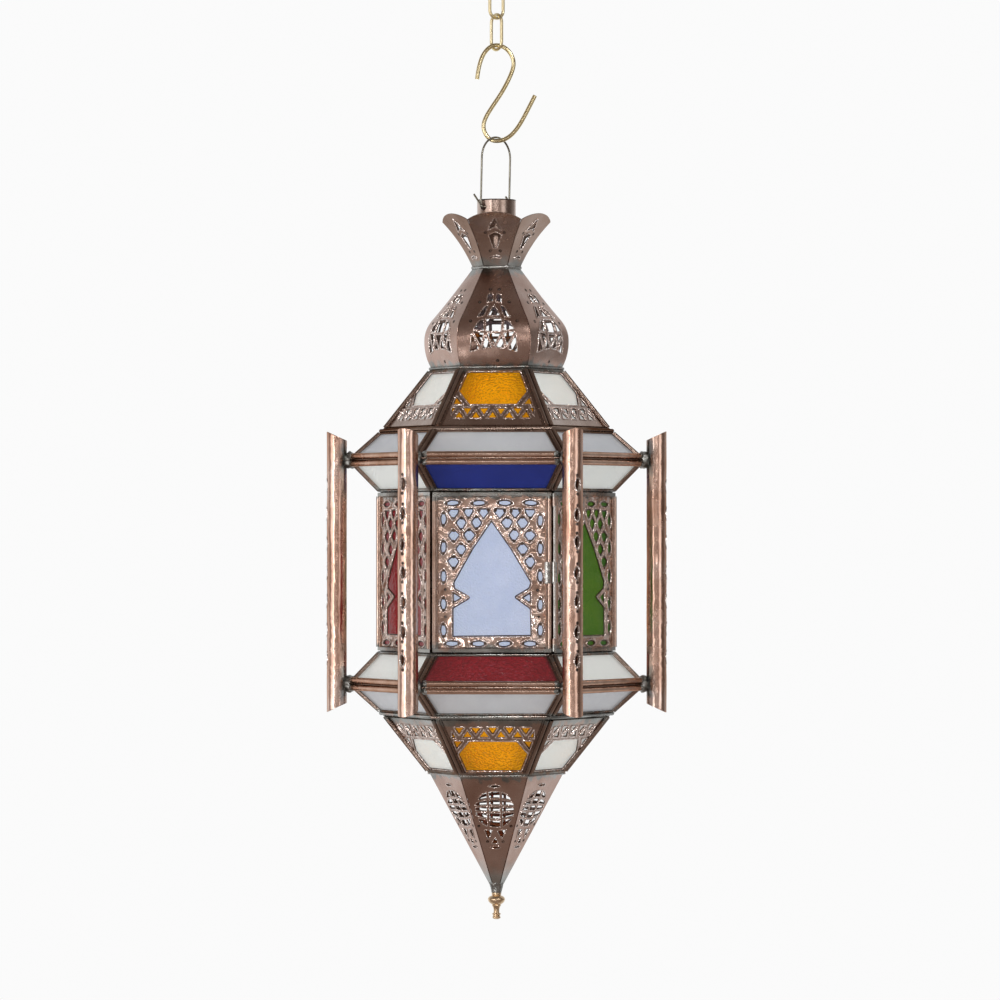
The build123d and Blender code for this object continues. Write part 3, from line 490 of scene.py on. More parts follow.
def makeSide(topR, topZ, footR, footZ):
    topA, footA = topR * cos30, footR * cos30
    slope = math.hypot(topZ - footZ, footA - topA)
    upY, upZ = (footA - topA) / slope, (topZ - footZ) / slope
    place = Matrix(((1, 0, 0, 0), (0, upY, -upZ, -footA), (0, upZ, upY, footZ), (0, 0, 0, 1)))
    stretch = math.hypot(1, upY * tan30)
    return {"footA": footA, "slope": slope, "upY": upY, "upZ": upZ, "stretch": stretch, "place": place}


def sideOf(top, topLevel, foot, footLevel, play=0.0):
    return makeSide(corner[top], level[topLevel] - play, corner[foot], level[footLevel] + play)


def halfAt(side, v, out=0.0, inset=0.0):
    return (side["footA"] - v * side["upY"] + out * side["upZ"]) * tan30 - inset * side["stretch"]


def fourCorners(side, end, depth, inset=0.0, trim=0.0):
    low, high = end, side["slope"] - end
    foot, head = (halfAt(side, v, depth, inset) - trim for v in (low, high))
    return [(-foot, low), (foot, low), (head, high), (-head, high)]


def placedSide(bm, side, k):
    bmesh.ops.transform(bm, verts=bm.verts, matrix=side["place"])
    return turnedSide(bm, k)


roofSide = sideOf("roof", "roof", "belt", "eave")
eaveSide = sideOf("belt", "eave", "ring", "upperRing")
soffitSide = sideOf("ring", "upperRing", "seat", "drumTop")
drumSide = sideOf("drum", "drumTop", "drum", "drumFoot")
doorSide = sideOf("door", "drumTop", "door", "drumFoot", play=0.4)
sillSide = sideOf("seat", "drumFoot", "ring", "lowerRing")
skirtSide = sideOf("ring", "lowerRing", "belt", "skirt")
baseSide = sideOf("belt", "skirt", "base", "cone")
coneSide = sideOf("cone", "cone", "tip", "tip")


# spots are mm across and up each side
drumLook = {
    "apex": 84.0,
    "right": [(25.4, 10.0), (25.2, 28.0), (14.6, 35.0), (24.2, 40.5), (25.0, 44.5), (12.6, 66.0)],
    "spur": [(25.0, 30.6), (25.0, 38.6), (18.6, 34.7)],
    "shield": [(-3.8, 3.2), (3.8, 3.2), (3.5, 0.5), (0, -4.0), (-3.5, 0.5)],
    "shields": [(5.2, 88.3), (15.0, 88.3), (24.4, 87.9)],
    "lozenge": [(-4.2, 0.4), (0, -5.4), (4.2, 0.4), (0, 5.2)],
    "lozenges": [(9.7, 82.2), (19.6, 82.0), (14.3, 74.3), (24.2, 74.0), (19.7, 65.4), (24.4, 57.4)],
    "sideEyes": [84.0, 66.5, 48.0, 31.0, 14.6], "sideEyeU": 30.8, "sideEye": (9.8, 4.4), "sideStray": 0.8,
    "topEyes": [-24.8, -8.2, 8.2, 24.8], "topEyeV": 94.9, "topEye": (10.8, 4.2),
    "footEyes": [-25.4, -8.6, 8.0, 24.2], "footEyeV": 5.4, "footEye": (10.8, 4.3),
    "dots": [(29.0, 75.0), (28.6, 57.8), (27.6, 92.0), (29.4, 39.6), (29.6, 22.6)], "dotSize": (0.6, 0.85),
    "dotStray": 0.3, "dotRoom": 0.7, "rim": 0.56, "ridge": 0.45, "lip": 0.8, "curl": 1.6, "dotLip": 0.55,
    "inset": 2.05, "end": 0.75, "depth": -1.2, "top": -0.6, "seed": 40,
}


def drumHoles(hand):
    look = drumLook
    window = look["right"] + [(0, look["apex"])] + mirrored(look["right"])
    holes = [handCut(window, hand, shake=0.35, soft=0.9)]
    for s in bothWays:
        holes.append(handCut(flipped(look["spur"], s), hand, shake=0.25, soft=0.7))
        for spot in flipped(look["shields"], s):
            holes.append(handCut(look["shield"], hand, shake=0.3, soft=1.2, spot=spot))
        for spot in flipped(look["lozenges"], s):
            holes.append(handCut(look["lozenge"], hand, shake=0.4, soft=1.6, spot=spot, steps=3))
        for v in look["sideEyes"]:
            v += hand.uniform(-look["sideStray"], look["sideStray"])
            holes.append(eyeShape(s * look["sideEyeU"], v, *look["sideEye"], 90, hand))
    for row in ("top", "foot"):
        holes += [eyeShape(u, look[row + "EyeV"], *look[row + "Eye"], 0, hand) for u in look[row + "Eyes"]]
    dots = []
    for s in bothWays:
        for spot in flipped(look["dots"], s):
            [(u, v)] = shaken([spot], look["dotStray"], hand)
            size = hand.uniform(*look["dotSize"])
            if farFrom(holes, u, v, size + look["dotRoom"]):
                dots.append(dotShape(u, v, size))
    return holes, dots


def drumScreen(side, k):
    look = drumLook
    outline = fourCorners(side, look["end"], look["depth"], look["inset"])
    bm = piercedSheet(outline, *drumHoles(random.Random(look["seed"] + k)), look["top"], look)
    return placedSide(bm, side, k)


finishPiece("doorScreen", drumScreen(doorSide, 0), ["wornCopper"] + cutEdges, ["door_screen"], "door")
for k in allSides[1:]:
    screen, node = drumScreen(drumSide, k), "drum_screen_" + sideNames[k]
    finishPiece("drumScreen_" + sideNames[k], screen, ["dullCopper"] + cutEdges, [node])
print("drum screens made")


slopeLook = {"band": 8.4, "tracery": 9.0, "count": 5, "bar": 1.9, "barShare": 0.72, "armRun": 10.5,
             "armBars": 1.6, "head": 3.2, "depth": -1.2, "inset": 4.4, "end": 1.2, "outlineDepth": -3.2,
             "outlineInset": 1.3, "top": -0.6, "rim": 0.55, "lip": 0.9, "roofSeed": 60, "baseSeed": 70}


def slopeHoles(side, wideAtFoot, hand):
    look, bar, count, holes = slopeLook, slopeLook["bar"], slopeLook["count"], []

    def at(v):
        return v if wideAtFoot else side["slope"] - v

    def edge(v):
        return halfAt(side, at(v), look["depth"], look["inset"])

    foot, head = look["band"], look["band"] + look["tracery"]
    pitch = 2 * edge(head) / count
    for i in range(2 * count + 1):
        u, half = -edge(head) + i * pitch / 2, pitch / 2 - bar * look["barShare"]
        low, high = (foot, head - bar) if i % 2 else (head, foot + bar)
        left, right = (u - half if i > 0 else u), (u + half if i < 2 * count else u)
        holes.append(handCut([(left, at(low)), (right, at(low)), (u, at(high))], hand, shake=0.25, soft=0.9))
    sill = head + bar
    inner, armTop, top = edge(sill) - look["armRun"], sill + look["armRun"], side["slope"] - look["head"]
    arm = [(edge(armTop), armTop), (edge(top), top)]
    window = [(-inner, sill), (inner, sill)] + arm + mirrored(arm)
    holes.append(handCut([(u, at(v)) for u, v in window], hand, shake=0.25, soft=0.8))
    near, crest = inner + look["armBars"] * bar, armTop - look["armBars"] * bar
    corners = [(near, at(sill)), (edge(sill), at(sill)), (edge(crest), at(crest))]
    return holes + [handCut(flipped(corners, s), hand, shake=0.2, soft=0.9) for s in bothWays]


def slopeScreens(side, wideAtFoot, seed):
    look, parts = slopeLook, []
    outline = fourCorners(side, look["end"], look["outlineDepth"], look["outlineInset"])
    for k in allSides:
        holes = slopeHoles(side, wideAtFoot, random.Random(seed + k))
        parts.append(placedSide(piercedSheet(outline, holes, [], look["top"], look), side, k))
    return gathered(parts)


for part, side, wideAtFoot in (("roof", roofSide, True), ("base", baseSide, False)):
    sheets = slopeScreens(side, wideAtFoot, slopeLook[part + "Seed"])
    finishPiece(part + "Screens", sheets, ["agedCopper"] + cutEdges, [part + "_screens"])
print("roof and base screens made")


domeLook = {"widest": corner["dome"] * cos30, "foot": 42.5 * cos30, "below": 46.2, "shoulder": 23.0,
            "neck": 13.41, "rim": 0.46, "lip": 0.46, "dotLip": 0.5, "step": 1.6, "puff": 1.5, "levels": 40,
            "depth": 0.35, "trim": 0.1, "reach": 28.0, "acrossStep": 4.0, "seed": 80}


def domeCurve():
    look, widest, below, bend = domeLook, domeLook["widest"], domeLook["below"], domeLook["shoulder"]
    height = level["neck"] - below
    drop, draw = height - level["roof"], widest - look["foot"]
    lower = (draw ** 2 + drop ** 2) / (2 * draw)
    centre = widest - bend
    run = centre - look["neck"]
    lean = math.atan2(run, below) + math.asin(bend / math.hypot(run, below))
    swing = math.asin(drop / lower)
    one, two = lower * swing, bend * lean

    def arc(middle, radius, a):
        return Vector((middle + radius * math.cos(a), height + radius * math.sin(a)))

    start, end = arc(centre, bend, lean), Vector((look["neck"], level["neck"]))
    three = (end - start).length

    def at(s):
        if s < one:
            a = s / lower - swing
            return arc(widest - lower, lower, a), a
        if s < one + two:
            a = (s - one) / bend
            return arc(centre, bend, a), a
        return start + (end - start) * ((s - one - two) / three), lean
    return at, one + two + three


domeAt, domeLength = domeCurve()


def insetCell(points, bar, hand):
    turn = crossSum(points)
    lines = []
    for a, b in zip(points, points[1:] + points[:1]):
        way = (Vector(b) - Vector(a)).normalized()
        lines.append((Vector(a) + Vector((-way.y, way.x)) * math.copysign(bar / 2, turn), way))
    inner = []
    for (p, d), (q, e) in zip(lines[-1:] + lines[:-1], lines):
        cross = d.x * e.y - d.y * e.x
        meet = p + d * (((q - p).x * e.y - (q - p).y * e.x) / cross) if abs(cross) > 0.02 else q
        inner.append(tuple(meet))
    return handCut(inner, hand, shake=0.14, soft=0.8)


domeCells = {"foot": (-16.2, -8.2, 0.0, 8.2, 16.2), "footArc": (9.2, 3.6, 16.2),
             "bar": (-14.8, -5.6, 5.6, 14.8), "barArc": (22.7, 1.9, 14.4), "strip": 1.15,
             "left": [[(-12.2, 32.8), (-6.0, 34.0), (-2.6, 44.6), (-6.6, 43.4)],
                      [(-5.6, 45.0), (0.0, 46.0), (-0.6, 54.4), (-5.0, 53.0)]],
             "head": [(-10.4, 31.2), (-5.8, 33.2), (5.8, 33.2), (10.4, 31.2)],
             "middle": [(-5.2, 34.2), (5.2, 34.2), (0.0, 45.2)],
             "dots": [(2.8, 56.6), (9.6, 46.4), (15.2, 31.0)], "footDot": (2.4, 4.4), "dot": 0.9}


def domeHoles(hand):
    look, head = domeCells, domeCells["head"]
    base, rise, reach = look["footArc"]
    foot = [(u, base + rise * (1 - (u / reach) ** 2)) for u in look["foot"]]
    base, rise, reach = look["barArc"]
    bar = [(u, base + rise * (u / reach) ** 2) for u in look["bar"]]
    zigzag = [point for pair in zip(foot, bar) for point in pair] + foot[-1:]
    cells = [list(three) for three in zip(zigzag, zigzag[1:], zigzag[2:])]
    cells += [[bar[i], bar[i + 1], head[i + 1], head[i]] for i in range(3)]
    cells += [look["middle"]] + look["left"] + [mirrored(cell) for cell in look["left"]]
    holes = [insetCell(points, look["strip"], hand) for points in cells]
    return holes, pairedDots(look) + [dotShape(*look["footDot"], look["dot"])]


def domeGore(k):
    look = domeLook
    levels = [domeLength * i / look["levels"] for i in range(look["levels"] + 1)]
    right = [((domeAt(s)[0].x - look["depth"]) * tan30 - look["trim"], s) for s in levels]
    outline = flipped(right, -1) + right[::-1]
    bm = piercedSheet(outline, *domeHoles(random.Random(look["seed"] + k)), 0.0, look)
    cutAcross(bm, 1, 0.0, domeLength, look["step"])
    cutAcross(bm, 0, -look["reach"], look["reach"], look["acrossStep"])
    for vert in bm.verts:
        along = min(max(vert.co.y, 0.0), domeLength)
        spot, turn = domeAt(along)
        half = spot.x * tan30
        bulge = look["puff"] * math.sin(math.pi * along / domeLength)  # each gore is a little rounded
        sag = bulge * (vert.co.x / half) ** 2
        out = vert.co.z - sag
        across = vert.co.x * (1 - sag * tan30 / half)
        vert.co = Vector((across, -(spot.x + out * math.cos(turn)), spot.y + out * math.sin(turn)))
    return turnedSide(bm, k)


finishPiece("domeGores", sixTimes(domeGore), ["redCopper"] + cutEdges, ["dome_gores"])
print("dome made")


crownLook = {"height": 30.0, "neck": 13.42, "arch": 5.8, "archSteps": 16, "flare": 1.5, "low": 0.4,
             "depth": -0.6, "trim": 0.1, "step": 3.0, "seed": 90, "rim": 0.42, "lip": 0.6,
             "dotLip": 0.45, "dot": 0.85,
             "arrow": [(-5.0, 26.0), (0, 28.2), (5.0, 26.0), (0, 36.6)],
             "vase": [(-4.6, 23.0), (-1.5, 13.0), (1.5, 13.0), (4.6, 23.0), (0, 25.0)],
             "slit": [(-3.8, 6.0), (0, 7.0), (3.8, 6.0), (3.8, 7.4), (0, 8.4), (-3.8, 7.4)],
             "dots": [(6.4, 24.4), (3.4, 11.2)]}
crownSide = makeSide(corner["crown"], level["neck"] + crownLook["height"], crownLook["neck"] / cos30,
                     level["neck"])


def crownPetal(k):
    look, hand = crownLook, random.Random(crownLook["seed"] + k)
    slope, rise = crownSide["slope"], look["arch"]
    wide, narrow = (halfAt(crownSide, v, look["depth"]) - look["trim"] for v in (slope, look["low"]))
    radius = (wide ** 2 + rise ** 2) / (2 * rise)
    swing = math.asin(wide / radius)
    angles = [swing * (1 - 2 * i / look["archSteps"]) for i in range(look["archSteps"] + 1)]
    arch = [(radius * math.sin(a), slope + rise - radius + radius * math.cos(a)) for a in angles]
    outline = [(-narrow, look["low"]), (narrow, look["low"])] + arch
    holes = [handCut(look[shape], hand, shake=0.2, soft=0.6) for shape in ("arrow", "vase", "slit")]
    bm = piercedSheet(outline, holes, pairedDots(look), 0.0, look)
    cutAcross(bm, 1, 0.0, slope + rise, look["step"])
    for vert in bm.verts:
        t = vert.co.y / slope
        sag = look["flare"] * 4 * t * (1 - t)  # hollow below, turned out at the tips
        vert.co.x *= 1 - sag * crownSide["upZ"] * tan30 / halfAt(crownSide, vert.co.y)
        vert.co.z -= sag
    return placedSide(bm, crownSide, k)


finishPiece("crownPetals", sixTimes(crownPetal), ["crownCopper"] + cutEdges, ["crown_petals"])

coneLook = {"centre": 56.6, "radius": (12.9, 13.6), "columns": (-13.0, -4.2, 4.2, 13.0), "steps": 8,
            "least": 0.8, "rows": (-13.6, -7.6, -2.2, 2.6, 7.6, 13.6), "bow": 0.34, "bar": 1.15,
            "shake": 0.08, "wing": [(1.2, 41.4), (7.2, 41.8), (4.4, 34.6)],
            "wedge": [(-2.5, -2.4), (2.5, -2.4), (0, 2.4)], "wedgeSpot": (0, 33.8),
            "eyes": [(73.4, 8.4, 2.2), (28.6, 6.6, 1.9)], "dots": [(5.0, 33.0), (10.4, 44.4)], "dot": 0.8,
            "rim": 0.36, "lip": 0.46, "dotLip": 0.45, "end": 0.3, "depth": -0.6, "trim": 0.08, "seed": 100}


def coneHoles(hand):
    look, bar, holes = coneLook, coneLook["bar"], []
    wide, tall = look["radius"]
    for u0, u1 in zip(look["columns"], look["columns"][1:]):
        for v0, v1 in zip(look["rows"], look["rows"][1:]):
            low, high = [], []
            for i in range(look["steps"] + 1):
                u = u0 + bar / 2 + (u1 - u0 - bar) * i / look["steps"]
                reach = tall * math.sqrt(max(0.0, 1 - (u / wide) ** 2))
                bent = 1 - look["bow"] * (u / wide) ** 2
                bottom, top = max(v0 * bent + bar / 2, -reach), min(v1 * bent - bar / 2, reach)
                if top - bottom > look["least"]:
                    low.append((u, look["centre"] + bottom))
                    high.append((u, look["centre"] + top))
            if len(low) > 2:
                holes.append(shaken(low + high[::-1], look["shake"], hand))
    holes += [handCut(flipped(look["wing"], s), hand, shake=0.2, soft=0.7) for s in bothWays]
    holes.append(handCut(look["wedge"], hand, shake=0.2, soft=0.7, spot=look["wedgeSpot"]))
    return holes + [eyeShape(0, v, *size, 0, hand) for v, *size in look["eyes"]]


def coneGore(k):
    look = coneLook
    outline = fourCorners(coneSide, look["end"], look["depth"], trim=look["trim"])
    holes = coneHoles(random.Random(look["seed"] + k))
    return placedSide(piercedSheet(outline, holes, pairedDots(look), 0.0, look), coneSide, k)


finishPiece("coneGores", sixTimes(coneGore), ["redCopper"] + cutEdges, ["cone_gores"])
print("crown and cone made")


columnLook = {"radius": 6.5, "sheet": 0.7, "place": 104.0, "low": -473.05, "high": -290.75, "slant": 24.0,
              "seam": 1.6, "endSteps": 24, "eyes": 7, "pitch": 18.6, "eye": (8.2, 3.9), "stray": (0.5, 0.7),
              "dotGap": 5.9, "dotStray": 0.3, "dotSize": (0.7, 0.9), "rim": 0.56, "ridge": 0.3, "lip": 0.9,
              "dotLip": 0.5, "around": 14, "step": 6.0, "dent": 0.4, "dentScale": (0.12, 0.05), "dentRun": 9,
              "plainDent": 0.4, "press": 0.55, "pressSize": (3.4, 5.0), "seed": 110}


def columnTube(k):
    look, hand = columnLook, random.Random(columnLook["seed"] + k)
    radius, mid = look["radius"], (look["low"] + look["high"]) / 2
    half = (look["high"] - look["low"]) / 2
    reach = math.pi * radius - look["seam"] / 2
    fall = radius * math.tan(math.radians(look["slant"]))
    across = [-reach + 2 * reach * i / look["endSteps"] for i in range(look["endSteps"] + 1)]
    topEdge = [(u, half - fall * (1 - math.cos(u / radius))) for u in across]
    outline = [(u, -v) for u, v in topEdge] + topEdge[::-1]
    eyes = [(i - (look["eyes"] - 1) / 2) * look["pitch"] for i in range(look["eyes"])]
    strayU, strayV = look["stray"]
    holes, dots = [], []
    for eye in eyes:
        v = eye + hand.uniform(-strayV, strayV)
        holes.append(eyeShape(hand.uniform(-strayU, strayU), v, *look["eye"], 90, hand))
        for s in bothWays:
            u = hand.uniform(-look["dotStray"], look["dotStray"])
            dots.append(dotShape(u, v + s * look["dotGap"], hand.uniform(*look["dotSize"])))
    bm = piercedSheet(outline, holes, dots, 0.0, look)
    cutAcross(bm, 0, -reach, reach, reach / look["around"])
    cutAcross(bm, 1, -half, half, look["step"])
    (scaleU, scaleV), (pressU, pressV) = look["dentScale"], look["pressSize"]
    for vert in bm.verts:
        u, v, out = vert.co
        near = min(abs(v - eye) for eye in eyes)
        push = math.exp(-(near / pressV) ** 2) * math.exp(-(u / pressU) ** 2)
        wobble = noise.noise(Vector((u * scaleU + look["dentRun"] * k, v * scaleV, k))) * look["dent"]
        r = radius + out - look["press"] * push + wobble * (look["plainDent"] + push)
        a = u / radius
        vert.co = Vector((look["place"] + r * math.cos(a), r * math.sin(a), mid + v))
    return turnedSide(bm, k - 1)


finishPiece("columns", sixTimes(columnTube), ["rolledCopper"] + cutEdges, ["columns"])
print("columns made")


beadLine = {"side": 1.35, "sideEnd": 2.4, "inset": 1.1, "lip": 0.6, "lipEnd": 2.6, "lipDepth": -0.6,
            "lipLift": 0.05, "roundness": 3, "slopes": (0.5, 3.0), "drum": (1.3, 3.2)}


def addTube(bm, points, radius, closed=True):
    addMesh(bm, wireMesh([points], radius, beadLine["roundness"], closed))


def sideBeads(side, gap, lipGap, sides=allSides):
    look, parts = beadLine, []
    ends = (look["sideEnd"], side["slope"] - look["sideEnd"])
    lip = fourCorners(side, look["lipEnd"], look["lipDepth"], gap + lipGap)
    for k in sides:
        bm = bmesh.new()
        for s in bothWays:
            line = [(s * halfAt(side, v, 0, gap + look["inset"]), v, 0.0) for v in ends]
            addTube(bm, line, look["side"], False)
        addTube(bm, [(u, v, look["lipLift"]) for u, v in lip], look["lip"])
        parts.append(placedSide(bm, side, k))
    return parts


slopeSides = (roofSide, eaveSide, soffitSide, sillSide, skirtSide, baseSide)
slopeBeads = [part for side in slopeSides for part in sideBeads(side, *beadLine["slopes"])]
drumBeads = sideBeads(drumSide, *beadLine["drum"], allSides[1:])
doorBeads = sideBeads(doorSide, *beadLine["drum"], allSides[:1])
finishPiece("frameBeads", gathered(slopeBeads), ["brownCopper"])
finishPiece("drumBeads", gathered(drumBeads), ["drawnCopper"])
finishPiece("doorBeads", gathered(doorBeads), ["drawnCopper"], body="door")

# radius, height and thickness from the middle of each ring, mm, and its points
ringRows = {
    "beltBead": [(corner["belt"] + 0.2, level["eave"] - 0.1, 1.35, 6),
                 (corner["ring"] + 0.6, level["upperRing"], 0.75, 6),
                 (corner["ring"] + 0.6, level["lowerRing"], 0.75, 6)],
    "solderSeams": [(corner["belt"] + 0.2, level["skirt"] + 0.1, 1.35, 6),
                    (corner["roof"] + 0.1, level["roof"], 1.0, 6),
                    (corner["seat"] + 1.0, level["drumTop"] + 1.4, 1.0, 6),
                    (corner["seat"] + 1.0, level["drumFoot"] - 1.4, 1.0, 6),
                    (corner["base"] - 0.1, level["cone"] + 0.2, 0.8, 6)],
    "neckSolder": [(15.2, level["neck"] + 0.3, 1.3, 6)],
    "collarRim": [(12.25, -140.5, 0.5, 48)],
}


def finishRings(name, metals):
    bm = bmesh.new()
    for radius, z, size, count in ringRows[name]:
        angles = [math.radians(360 * i / count) for i in range(count)]
        addTube(bm, [(radius * math.cos(a), radius * math.sin(a), z) for a in angles], size)
    finishPiece(name, bm, metals)


finishRings("beltBead", ["brownCopper"])
finishRings("solderSeams", ["agedCopper"])

lumpLook = {"size": (4.4, 4.6, 5.6), "rough": 0.9, "inset": 1.0, "swell": 0.2, "scale": 2.1, "seedRun": 3.7,
            "drop": (2.2, 2.2, 2.1), "dropRough": 1.0, "dropOut": 0.4, "dropUp": 2.4, "dropAlong": 7.0,
            "upSeed": 0.3, "sideSeed": 0.17, "seeds": {"upper": 1.0, "lower": 9.0}}


def addLump(bm, centre, size, seed, amount):
    look, made = lumpLook, bmesh.ops.create_icosphere(bm, subdivisions=4, radius=1.0)
    for vert in made["verts"]:
        spot = vert.co * look["scale"] + Vector((seed * look["seedRun"], seed, 0))
        swell = 1 + amount * look["swell"] * noise.noise(spot)
        vert.co = Vector(c + p * s * swell for c, p, s in zip(centre, vert.co, size))


def ringLumps(z, seed):
    look, parts = lumpLook, []
    for k in allSides:
        bm = bmesh.new()
        addLump(bm, (corner["ring"] - look["inset"], 0, z), look["size"], seed + k, look["rough"])
        for s in bothWays:
            along = Vector((-0.5, s * cos30, 0)) * look["dropAlong"]
            for up in bothWays:
                spot = Vector((corner["ring"] + look["dropOut"], 0, z + up * look["dropUp"])) + along
                dropSeed = seed + k + up * look["upSeed"] + s * look["sideSeed"]
                addLump(bm, spot, look["drop"], dropSeed, look["dropRough"])
        parts.append(turnedSide(bm, k - 1))
    return gathered(parts)


for ring, seed in lumpLook["seeds"].items():
    lumps = ringLumps(level[ring + "Ring"], seed)
    finishPiece(ring + "Solder", lumps, ["greySolder"], [ring + "_solder"], smooth=180.0,
                weighted=False)


def lathe(profile, steps):
    bm = bmesh.new()
    verts = [bm.verts.new((r, 0, z)) for r, z in profile]
    edges = [bm.edges.new(pair) for pair in zip(verts, verts[1:])]
    bmesh.ops.spin(bm, geom=verts + edges, cent=(0, 0, 0), axis=(0, 0, 1), angle=math.tau, steps=steps,
                   use_merge=True)
    bmesh.ops.remove_doubles(bm, verts=bm.verts, dist=edgeLook["weld"])
    return bm


finialLook = {"steps": 32, "profile": [
    (0, -583.5), (1.5, -583.5), (1.5, -589.6), (3.1, -590.0), (3.15, -591.2), (2.75, -592.0), (3.7, -592.3),
    (4.8, -592.9), (5.5, -593.9), (5.6, -594.6), (5.2, -595.8), (4.3, -596.9), (3.3, -597.6), (2.8, -597.9),
    (2.95, -598.4), (2.6, -599.0), (2.1, -600.0), (1.85, -601.2), (1.85, -602.9), (2.0, -603.3),
    (2.75, -603.7), (2.75, -604.2), (2.25, -604.7), (2.25, -605.5), (2.65, -605.9), (2.65, -606.5),
    (2.1, -607.1), (1.1, -607.4), (0, -607.45)]}
finial = lathe(finialLook["profile"], finialLook["steps"])
finishPiece("finial", finial, ["turnedBrass"], ["finial"])

tipLook = {"steps": 40, "lumpy": 0.07, "scale": 0.9, "bore": 2.4,
           "profile": [(1.52, -583.0), (4.6, -581.5), (4.75, -584.0), (4.1, -586.2), (3.75, -587.6),
                       (3.45, -589.0), (3.2, -590.2), (1.52, -590.4)]}


def tipShape():
    look = tipLook
    bm = lathe(look["profile"] + look["profile"][:1], look["steps"])
    bmesh.ops.subdivide_edges(bm, edges=bm.edges, cuts=1, use_grid_fill=True)
    for vert in bm.verts:
        if vert.co.xy.length > look["bore"]:
            vert.co.xy *= 1 + look["lumpy"] * noise.noise(vert.co * look["scale"])
    return bm


finishPiece("tipSolder", tipShape(), ["greySolder"], ["tip_solder"], "lantern", 60.0)
finishRings("neckSolder", ["agedCopper"])
finishRings("collarRim", ["tarnishAndPaintedShade"])

hookLook = {"wire": 1.4, "roundness": 12,
            "path": [(-12.6, -22.0), (-11.4, -11.1), (-7.0, -2.0), (-0.1, 1.0), (7.5, -2.0), (12.1, -10.3),
                     (10.2, -18.0), (4.0, -30.5), (-4.5, -42.3), (-10.0, -52.2), (-5.8, -60.9),
                     (-0.4, -62.9), (7.2, -61.2), (14.7, -53.6), (20.3, -42.3), (25.1, -32.8)]}


def hookWire():
    look, bm = hookLook, bmesh.new()
    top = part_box("s_hook")[1].z / mm - look["wire"]
    line = [(x, 0.0, top + z) for x, z in look["path"]]
    addMesh(bm, wireMesh([line], look["wire"], look["roundness"], False, "NURBS"))
    return bm


finishPiece("hookWire", hookWire(), ["drawnBrass"], ["s_hook"], "hook", 60.0, False)

knuckleLook = {"bulge": 0.75, "leaf": 0.5, "overlap": 0.9, "bore": 0.86, "barrel": 1.6, "chamfer": 0.25,
               "steps": 28, "leafSteps": (14, 6)}


def doorKnuckle():
    look = knuckleLook
    low, high = (Vector(spot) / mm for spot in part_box("door_knuckle"))
    hinge = next(Vector(joint["pos_m"]) / mm for joint in frame["joints"] if joint["name"] == "door_hinge")
    half = (high.z - low.z) / 2
    inner, outer, cut = look["bore"], look["barrel"], look["chamfer"]
    lower = [(inner, -half), (outer - cut, -half), (outer, cut - half)]
    profile = lower + [(r, -z) for r, z in reversed(lower)]
    barrel = lathe(profile + profile[:1], look["steps"])
    bmesh.ops.translate(barrel, verts=barrel.verts, vec=hinge)
    leaf = bmesh.new()
    right = hinge.x - look["overlap"]
    across, up = look["leafSteps"]
    bmesh.ops.create_grid(leaf, x_segments=across, y_segments=up, size=1.0)
    front = hinge.y - outer + look["leaf"]
    for vert in leaf.verts:
        u, v = vert.co.x, vert.co.y
        y = front - look["bulge"] * (1 - u * u)
        vert.co = ((low.x + right) / 2 + u * (right - low.x) / 2, y, hinge.z + v * half)
    bmesh.ops.solidify(leaf, geom=leaf.faces[:], thickness=look["leaf"])
    return gathered([barrel, leaf])


finishPiece("doorKnuckle", doorKnuckle(), ["rubbedPin"], ["door_knuckle"], "door")
print("beads, solder, finial and hinge made")


# the corner posts take the near-black metal: painted shade in the grooves between the drum sides
nodeMetal = {"chain_link_upper": "paleBrass", "chain_link_lower": "paleBrass", "bail_wire": "darkSteelWire",
             "upper_rails": "rubbedCopper", "lower_rails": "rubbedCopper", "hinge_rod": "rubbedPin",
             "corner_posts": "tarnishAndPaintedShade"}
for part in ("roof", "eave", "soffit", "sill", "skirt", "base"):
    nodeMetal[part + "_frames"] = "brownCopper"
nodeGlass = {"door_glass": "glass_pale_blue", "drum_glass_front_right": "glass_green",
             "drum_glass_back_right": "glass_amber", "drum_glass_back": "glass_blue",
             "drum_glass_back_left": "glass_green", "drum_glass_front_left": "drumRed",
             "eave_glass": "frost", "skirt_glass": "frost"}


def nodeFinish(name):
    if name in nodeGlass:
        return glass[nodeGlass[name]]
    for colour in glass:
        if name.endswith("_" + colour):
            return glass[colour]
    return metal[nodeMetal.get(name, "agedCopper")]


for name, thing in frame["nodes"].items():
    if not thing.material_slots:
        thing.data.materials.append(None)
    for holder in thing.material_slots:
        holder.material = nodeFinish(name)
print("nodes finished")


def aimAt(thing, spot, target):
    thing.location = spot
    thing.rotation_euler = (target - Vector(spot)).to_track_quat("-Z", "Y").to_euler()


cameraLook = {"distance": 3.1, "azimuth": 2.5, "height": -0.361, "aim": -0.3352, "aside": 0.0023,
              "lens": 171.7, "sensor": 36.0, "far": 200.0}


def studioCamera():
    look, turn = cameraLook, math.radians(cameraLook["azimuth"])
    spot = Vector((math.sin(turn), -math.cos(turn), 0)) * look["distance"] + Vector((0, 0, look["height"]))
    target = Vector((math.cos(turn), math.sin(turn), 0)) * look["aside"] + Vector((0, 0, look["aim"]))
    camera = linked("camera", bpy.data.cameras.new("camera"))
    camera.data.lens = look["lens"]
    camera.data.sensor_width = look["sensor"]
    camera.data.clip_end = look["far"]
    aimAt(camera, spot, target)
    bpy.context.scene.camera = camera


studioCamera()

